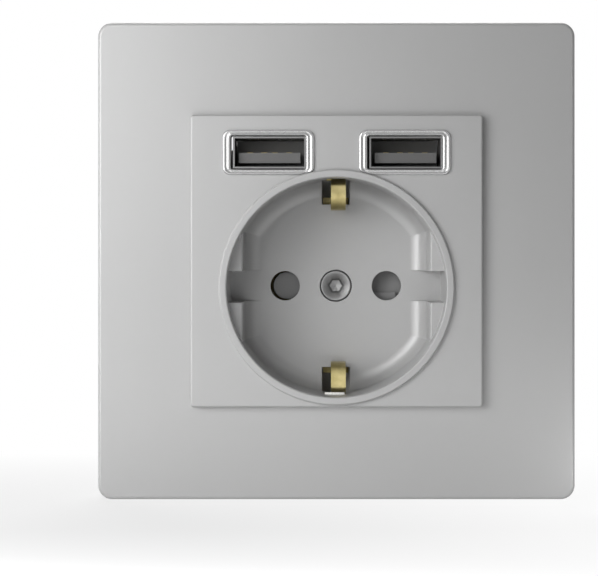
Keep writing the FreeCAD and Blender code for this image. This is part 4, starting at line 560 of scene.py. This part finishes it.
def makeLeafSpring():
    # the folded strip of the shutter's spring, welded into one piece
    mesh = frame["nodes"]["shutter_spring"].data.copy()
    builder = bmesh.new()
    builder.from_mesh(mesh)
    bmesh.ops.remove_doubles(builder, verts=builder.verts, dist=weld)
    builder.to_mesh(mesh)
    builder.free()
    piece = addPiece("shutterLeafSpring", [mesh], "socket", "spring_steel")
    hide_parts("shutter_spring")
    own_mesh(piece)


# angles in degrees; level and turned tell a straight rib's face from a turned one by its normal
softEdge = {"angle": 20.0, "flat": 0.4, "weight": 50, "level": 0.001, "turned": 0.05,
            "nodes": {"cover_plate": "coverPlate"}}


def markSharp(builder, limit):
    # also keeps the ribs' straight rounding apart from the turned one that it meets
    level = softEdge["level"]
    builder.normal_update()
    for edge in builder.edges:
        normals = [face.normal for face in edge.link_faces]
        if len(normals) != 2:
            continue
        along = [abs(normal.z) < level and abs(normal.x) > softEdge["turned"] for normal in normals]
        mitre = along[0] != along[1] and max(abs(normal.z) for normal in normals) > level
        edge.smooth = normals[0].angle(normals[1], 0.0) < limit and not mitre


def makeSoftCopies():
    # the same shapes with their roundings shaded smooth, while flat faces stay flat
    for node, name in softEdge["nodes"].items():
        mesh = frame["nodes"][node].data.copy()
        builder = bmesh.new()
        builder.from_mesh(mesh)
        bmesh.ops.remove_doubles(builder, verts=builder.verts, dist=weld)
        bmesh.ops.dissolve_limit(builder, angle_limit=math.radians(softEdge["flat"]), verts=builder.verts,
                                 edges=builder.edges)
        markSharp(builder, math.radians(softEdge["angle"]))
        for face in builder.faces:
            face.smooth = True
        builder.to_mesh(mesh)
        builder.free()
        holder = placed(name + "Holder", mesh)
        weighted = holder.modifiers.new("flats", "WEIGHTED_NORMAL")
        weighted.keep_sharp = True
        weighted.weight = softEdge["weight"]
        shaped = settled(holder)
        slot = slotOf[node]
        shaped.materials.clear()
        shaped.materials.append(finishes[slot])
        shaped.name = name
        piece = placed(name, shaped)
        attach(piece, "socket")
        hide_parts(node)


# profile: how far in from the outer edge, as a share of the inset, and the depth
bezel = {"half": (8.25, 4.05), "inset": (1.6, 1.09), "corner": (1.45, 0.35), "cornerSteps": 8,
         "profile": ((0, -11.1), (0, -11.32), (0.04, -11.45), (0.12, -11.56), (0.22, -11.6), (0.32, -11.57),
                     (0.42, -11.48), (0.54, -11.48), (0.64, -11.56), (0.74, -11.57), (0.85, -11.48),
                     (0.94, -11.3), (1, -11.0)),
         "collarWall": 0.45, "collarEnd": -9.1, "rimRadius": 21.25, "rimAxis": -4.7, "rimMiddle": -11.9,
         "rimDepth": 1.6, "rimSteps": 160, "sharpFrom": 35}


def ringOf(builder, middle, half, corner, y):
    # a rounded rectangle of vertices, seen from the front
    ring = []
    for turn, (sideX, sideZ) in enumerate(((1, 1), (-1, 1), (-1, -1), (1, -1))):
        for step in range(bezel["cornerSteps"] + 1):
            angle = math.radians(90 * (turn + step / bezel["cornerSteps"]))
            x = middle[0] + sideX * (half[0] - corner) + corner * math.cos(angle)
            z = middle[2] + sideZ * (half[1] - corner) + corner * math.sin(angle)
            ring.append(builder.verts.new((x * mm, y * mm, z * mm)))
    return ring


def makeBezels():
    # tubular port rings whose nearest corner makes room for the rim of the recess
    bpy.ops.mesh.primitive_cylinder_add(vertices=bezel["rimSteps"], radius=bezel["rimRadius"] * mm,
                                        depth=bezel["rimDepth"] * mm, rotation=(math.radians(90), 0, 0),
                                        location=(0, bezel["rimMiddle"] * mm, bezel["rimAxis"] * mm))
    cutter = bpy.context.object
    wall = bezel["collarWall"]
    outerCorner, innerCorner = bezel["corner"]
    for side in ("left", "right"):
        middle = middleOf("usb_bezel_" + side)
        builder = bmesh.new()
        rings = []
        for share, y in bezel["profile"]:
            half = [h - i * share for h, i in zip(bezel["half"], bezel["inset"])]
            corner = outerCorner + (innerCorner - outerCorner) * share
            rings.append(ringOf(builder, middle, half, corner, y))
        outside = [h + wall for h in half]
        rings.append(ringOf(builder, middle, half, corner, bezel["collarEnd"]))
        rings.append(ringOf(builder, middle, outside, corner + wall, bezel["collarEnd"]))
        rings.append(ringOf(builder, middle, outside, corner + wall, bezel["profile"][0][1]))
        for near, far in zip(rings, rings[1:] + rings[:1]):
            for i in range(len(near)):
                j = (i + 1) % len(near)
                builder.faces.new((near[i], near[j], far[j], far[i]))
        bmesh.ops.recalc_face_normals(builder, faces=builder.faces)
        holder = placed("bezelHolder", meshFrom(builder, "portBezel"))
        trim = holder.modifiers.new("rimRoom", "BOOLEAN")
        trim.operation = "DIFFERENCE"
        trim.object = cutter
        piece = addPiece("portBezel_" + side, [settled(holder)], "socket", "satin_trim")
        piece.data.shade_smooth()
        piece.data.set_sharp_from_angle(angle=math.radians(bezel["sharpFrom"]))
        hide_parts("usb_bezel_" + side)
    bpy.data.objects.remove(cutter)


# bottom and neck as shares of the socket's radius; the rim's points go in from the edge and down
screw = {"dish": 0.3, "edge": 0.15, "socket": 1.42, "lobes": 0.07, "lobedRings": 4, "depth": 1.0,
         "cone": 0.25, "bottom": 0.72, "neck": (0.92, 0.25), "rim": ((0.55, 0.12), (0.35, 0), (0.15, 0.02)),
         "head": 1.5, "shank": 1.75, "tip": 0.5, "steps": 48}


def makeCentreScrew():
    # dished head with a lobed socket
    low, high = nodeBox("centre_screw")
    middle = middleOf("centre_screw")
    head = (high[0] - low[0]) / 2
    front = low[1]
    seat = front + screw["head"]
    shank, tip, end = screw["shank"], screw["tip"], high[1]
    floor = front + screw["dish"]
    bottom = floor + screw["depth"]
    neck, neckDown = screw["neck"]
    profile = [(0, bottom + screw["cone"]), (screw["socket"] * screw["bottom"], bottom),
               (screw["socket"] * neck, floor + neckDown), (screw["socket"], floor)]
    profile += [(head - inward, front + down) for inward, down in screw["rim"]]
    profile += [(head, front + screw["edge"]), (head, seat), (shank, seat), (shank, end - tip),
                (shank - tip, end), (0, end)]
    mesh = turnedMesh("centreScrew", profile, middle, screw["steps"], screw["lobes"], screw["lobedRings"])
    piece = addPiece("centreScrew", [mesh], "socket", "screw_steel")
    piece.data.materials[0] = headSteel
    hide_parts("centre_screw")


clipEdge = {"x": (-2.1, 1.5), "y": (-4.5, -4.2), "z": (-24.42, -24.02), "tilt": 0.14}


def makeClipEdge():
    # a near-white strip on the end of the lower earth clip, a painted highlight where the brass catches the
    # light
    builder = bmesh.new()
    (x0, x1), (y0, y1), (z0, z1) = clipEdge["x"], clipEdge["y"], clipEdge["z"]
    corners = [(x, y + (clipEdge["tilt"] if z == z1 and y == y0 else 0), z)
               for x in (x0, x1) for y in (y0, y1) for z in (z0, z1)]
    verts = [builder.verts.new([c * mm for c in corner]) for corner in corners]
    bmesh.ops.convex_hull(builder, input=verts)
    piece = addPiece("lowerClipEdge", [meshFrom(builder, "clipEdge")], "socket", "nickel_sheet")
    # painted highlight: near-white shiny metal stands in for the light caught by the clip's brass end
    piece.data.materials[0] = metal("paintedHighlightStrip", (0.97, 0.96, 0.92), 0.12, (1, 1, 1), 0.0)


makeThreads()
makeSoftCopies()
makeBezels()
makeCentreScrew()
makeClipEdge()
makeChokeTurns()
makeLeafSpring()
makeSolderJoints()
makeClawTeeth()
makeCans()
print("plate, bezels, screw, threads, wire, spring, solder, teeth and cans made")

# glow is how far the near floor is lit by itself; it grows to the right, further back and far away, and its
# rise to the right paints shade on the left of the near floor
stageSet = {"floor": -43.0, "half": 1500.0, "tone": (0.82, 0.82, 0.82, 1),
            "glow": 0.52, "side": (-50.0, 88.0), "sideGlow": 0.38, "fadeFrom": -50.0, "fadeOver": 125.0,
            "rimFrom": 110.0, "rimOver": 150.0}


def makeStage():
    # a wide floor that fades to white further back
    builder = bmesh.new()
    half = stageSet["half"]
    builder.faces.new([builder.verts.new((x * mm, y * mm, stageSet["floor"] * mm))
                       for x, y in ((-half, -half), (half, -half), (half, half), (-half, half))])
    floor = placed("paleFloor", meshFrom(builder, "paleFloor"))
    tree = newTree("paleFloor")
    across = tree.add("ShaderNodeSeparateXYZ", {}, {0: tree.coords()}, 0)
    away = tree.add("ShaderNodeVectorMath", {"operation": "LENGTH"}, {0: tree.coords()}, "Value")
    rim = ((away - stageSet["rimFrom"]) / stageSet["rimOver"]).clamped()
    far = ((across.beside("Y") - stageSet["fadeFrom"]) / stageSet["fadeOver"]).clamped().math("MAXIMUM", rim)
    # painted shade: less glow on the left leaves the near floor darker there
    side = ((across - stageSet["side"][0]) / stageSet["side"][1]).clamped()
    near = stageSet["glow"] + side * stageSet["sideGlow"]
    glow = tree.seenRays() * (near + far * (1 - near))
    matt = tree.add("ShaderNodeBsdfDiffuse", {}, {"Color": stageSet["tone"]})
    light = tree.add("ShaderNodeEmission", {}, {"Color": (1, 1, 1, 1), "Strength": 1.0})
    both = tree.add("ShaderNodeMixShader", {}, {0: glow, 1: matt, 2: light})
    floor.data.materials.append(tree.surface(both))


# places and sizes in metres, power in watts
lamps = {
    "leftSoftbox": {"place": (-0.165, -0.15, 0.01), "aim": (-0.01, 0, 0), "size": (0.10, 0.20),
                    "power": 0.385},
    "farLeft": {"place": (-0.20, -0.32, 0.12), "aim": (0, 0, 0), "size": (0.20, 0.20), "power": 0.085},
    "frontLeft": {"place": (-0.10, -0.22, 0.06), "aim": (-0.02, 0, 0), "size": (0.12, 0.12), "power": 0.143},
    "upperLeft": {"place": (-0.12, -0.20, 0.12), "aim": (-0.01, 0, 0), "size": (0.08, 0.08), "power": 0.044},
    "lowBounce": {"place": (0.0, -0.10, -0.040), "aim": (0, 0, -0.03), "size": (0.16, 0.03), "power": 0.025},
    "cornerBounce": {"place": (0.055, -0.03, -0.041), "aim": (0.042, -0.01, -0.041), "size": (0.01, 0.01),
                     "power": 0.0026},
    "backLight": {"place": (-0.05, 0.35, 0.45), "aim": (0, 0.01, 0), "size": (0.3, 0.3), "power": 1.5},
}


def makeLamp(name, settings):
    data = bpy.data.lights.new(name, "AREA")
    data.shape = "RECTANGLE"
    data.size, data.size_y = settings["size"]
    data.energy = settings["power"]
    lamp = placed(name, data)
    place = Vector(settings["place"])
    lamp.location = place
    lamp.visible_camera = False
    lamp.rotation_euler = (Vector(settings["aim"]) - place).to_track_quat("-Z", "Y").to_euler()


room = {"ambient": 0.035, "dark": 0.6, "from": 0.35, "over": 0.6}


def makeWorld():
    # a white room whose side behind the camera is darker in reflections
    world = bpy.data.worlds.new("paleRoom")
    tree = Tree(world, "ShaderNodeOutputWorld")
    ahead = tree.add("ShaderNodeSeparateXYZ", {}, {0: tree.add("ShaderNodeTexCoord", {}, {}, "Generated")}, 1)
    dark = ((ahead * -1 - room["from"]) / room["over"]).clamped() * room["dark"]
    straight = tree.add("ShaderNodeLightPath", {}, {}, "Is Camera Ray")
    strength = room["ambient"] + tree.seenRays() * (1 - room["ambient"] - dark * (1 - straight))
    tree.surface(tree.add("ShaderNodeBackground", {}, {"Color": (1, 1, 1, 1), "Strength": strength}))
    scene.world = world


# width, perMm and the two middles in picture points, the rest in millimetres but near, in metres
cameraSet = {"width": 598, "perMm": 5.547, "distance": 374.0, "frameFront": -9.5, "right": -3.0, "up": 1.5,
             "frameMiddle": (336.45, 261.0), "pictureMiddle": (299.0, 288.0), "sensor": 36, "near": 0.01}


def makeCamera():
    # straight from the front, a little left of the frame's middle, which is right of the picture's
    perMm, width, sensor = cameraSet["perMm"], cameraSet["width"], cameraSet["sensor"]
    data = bpy.data.cameras.new("frontCamera")
    data.sensor_fit = "HORIZONTAL"
    data.sensor_width = sensor
    data.lens = perMm * cameraSet["distance"] / width * sensor
    across = cameraSet["frameMiddle"][0] - cameraSet["pictureMiddle"][0]
    down = cameraSet["frameMiddle"][1] - cameraSet["pictureMiddle"][1]
    data.shift_x = -(across + perMm * cameraSet["right"]) / width
    data.shift_y = (down - perMm * cameraSet["up"]) / width
    data.clip_start = cameraSet["near"]
    camera = placed("frontCamera", data)
    camera.location = Vector((cameraSet["right"], cameraSet["frameFront"] - cameraSet["distance"],
                              cameraSet["up"])) * mm
    camera.rotation_euler = (math.radians(90), 0, 0)
    scene.camera = camera


makeStage()
makeWorld()
for lampName, lampSettings in lamps.items():
    makeLamp(lampName, lampSettings)
makeCamera()
scene.view_settings.view_transform = "Standard"
print("stage, lights and camera set")
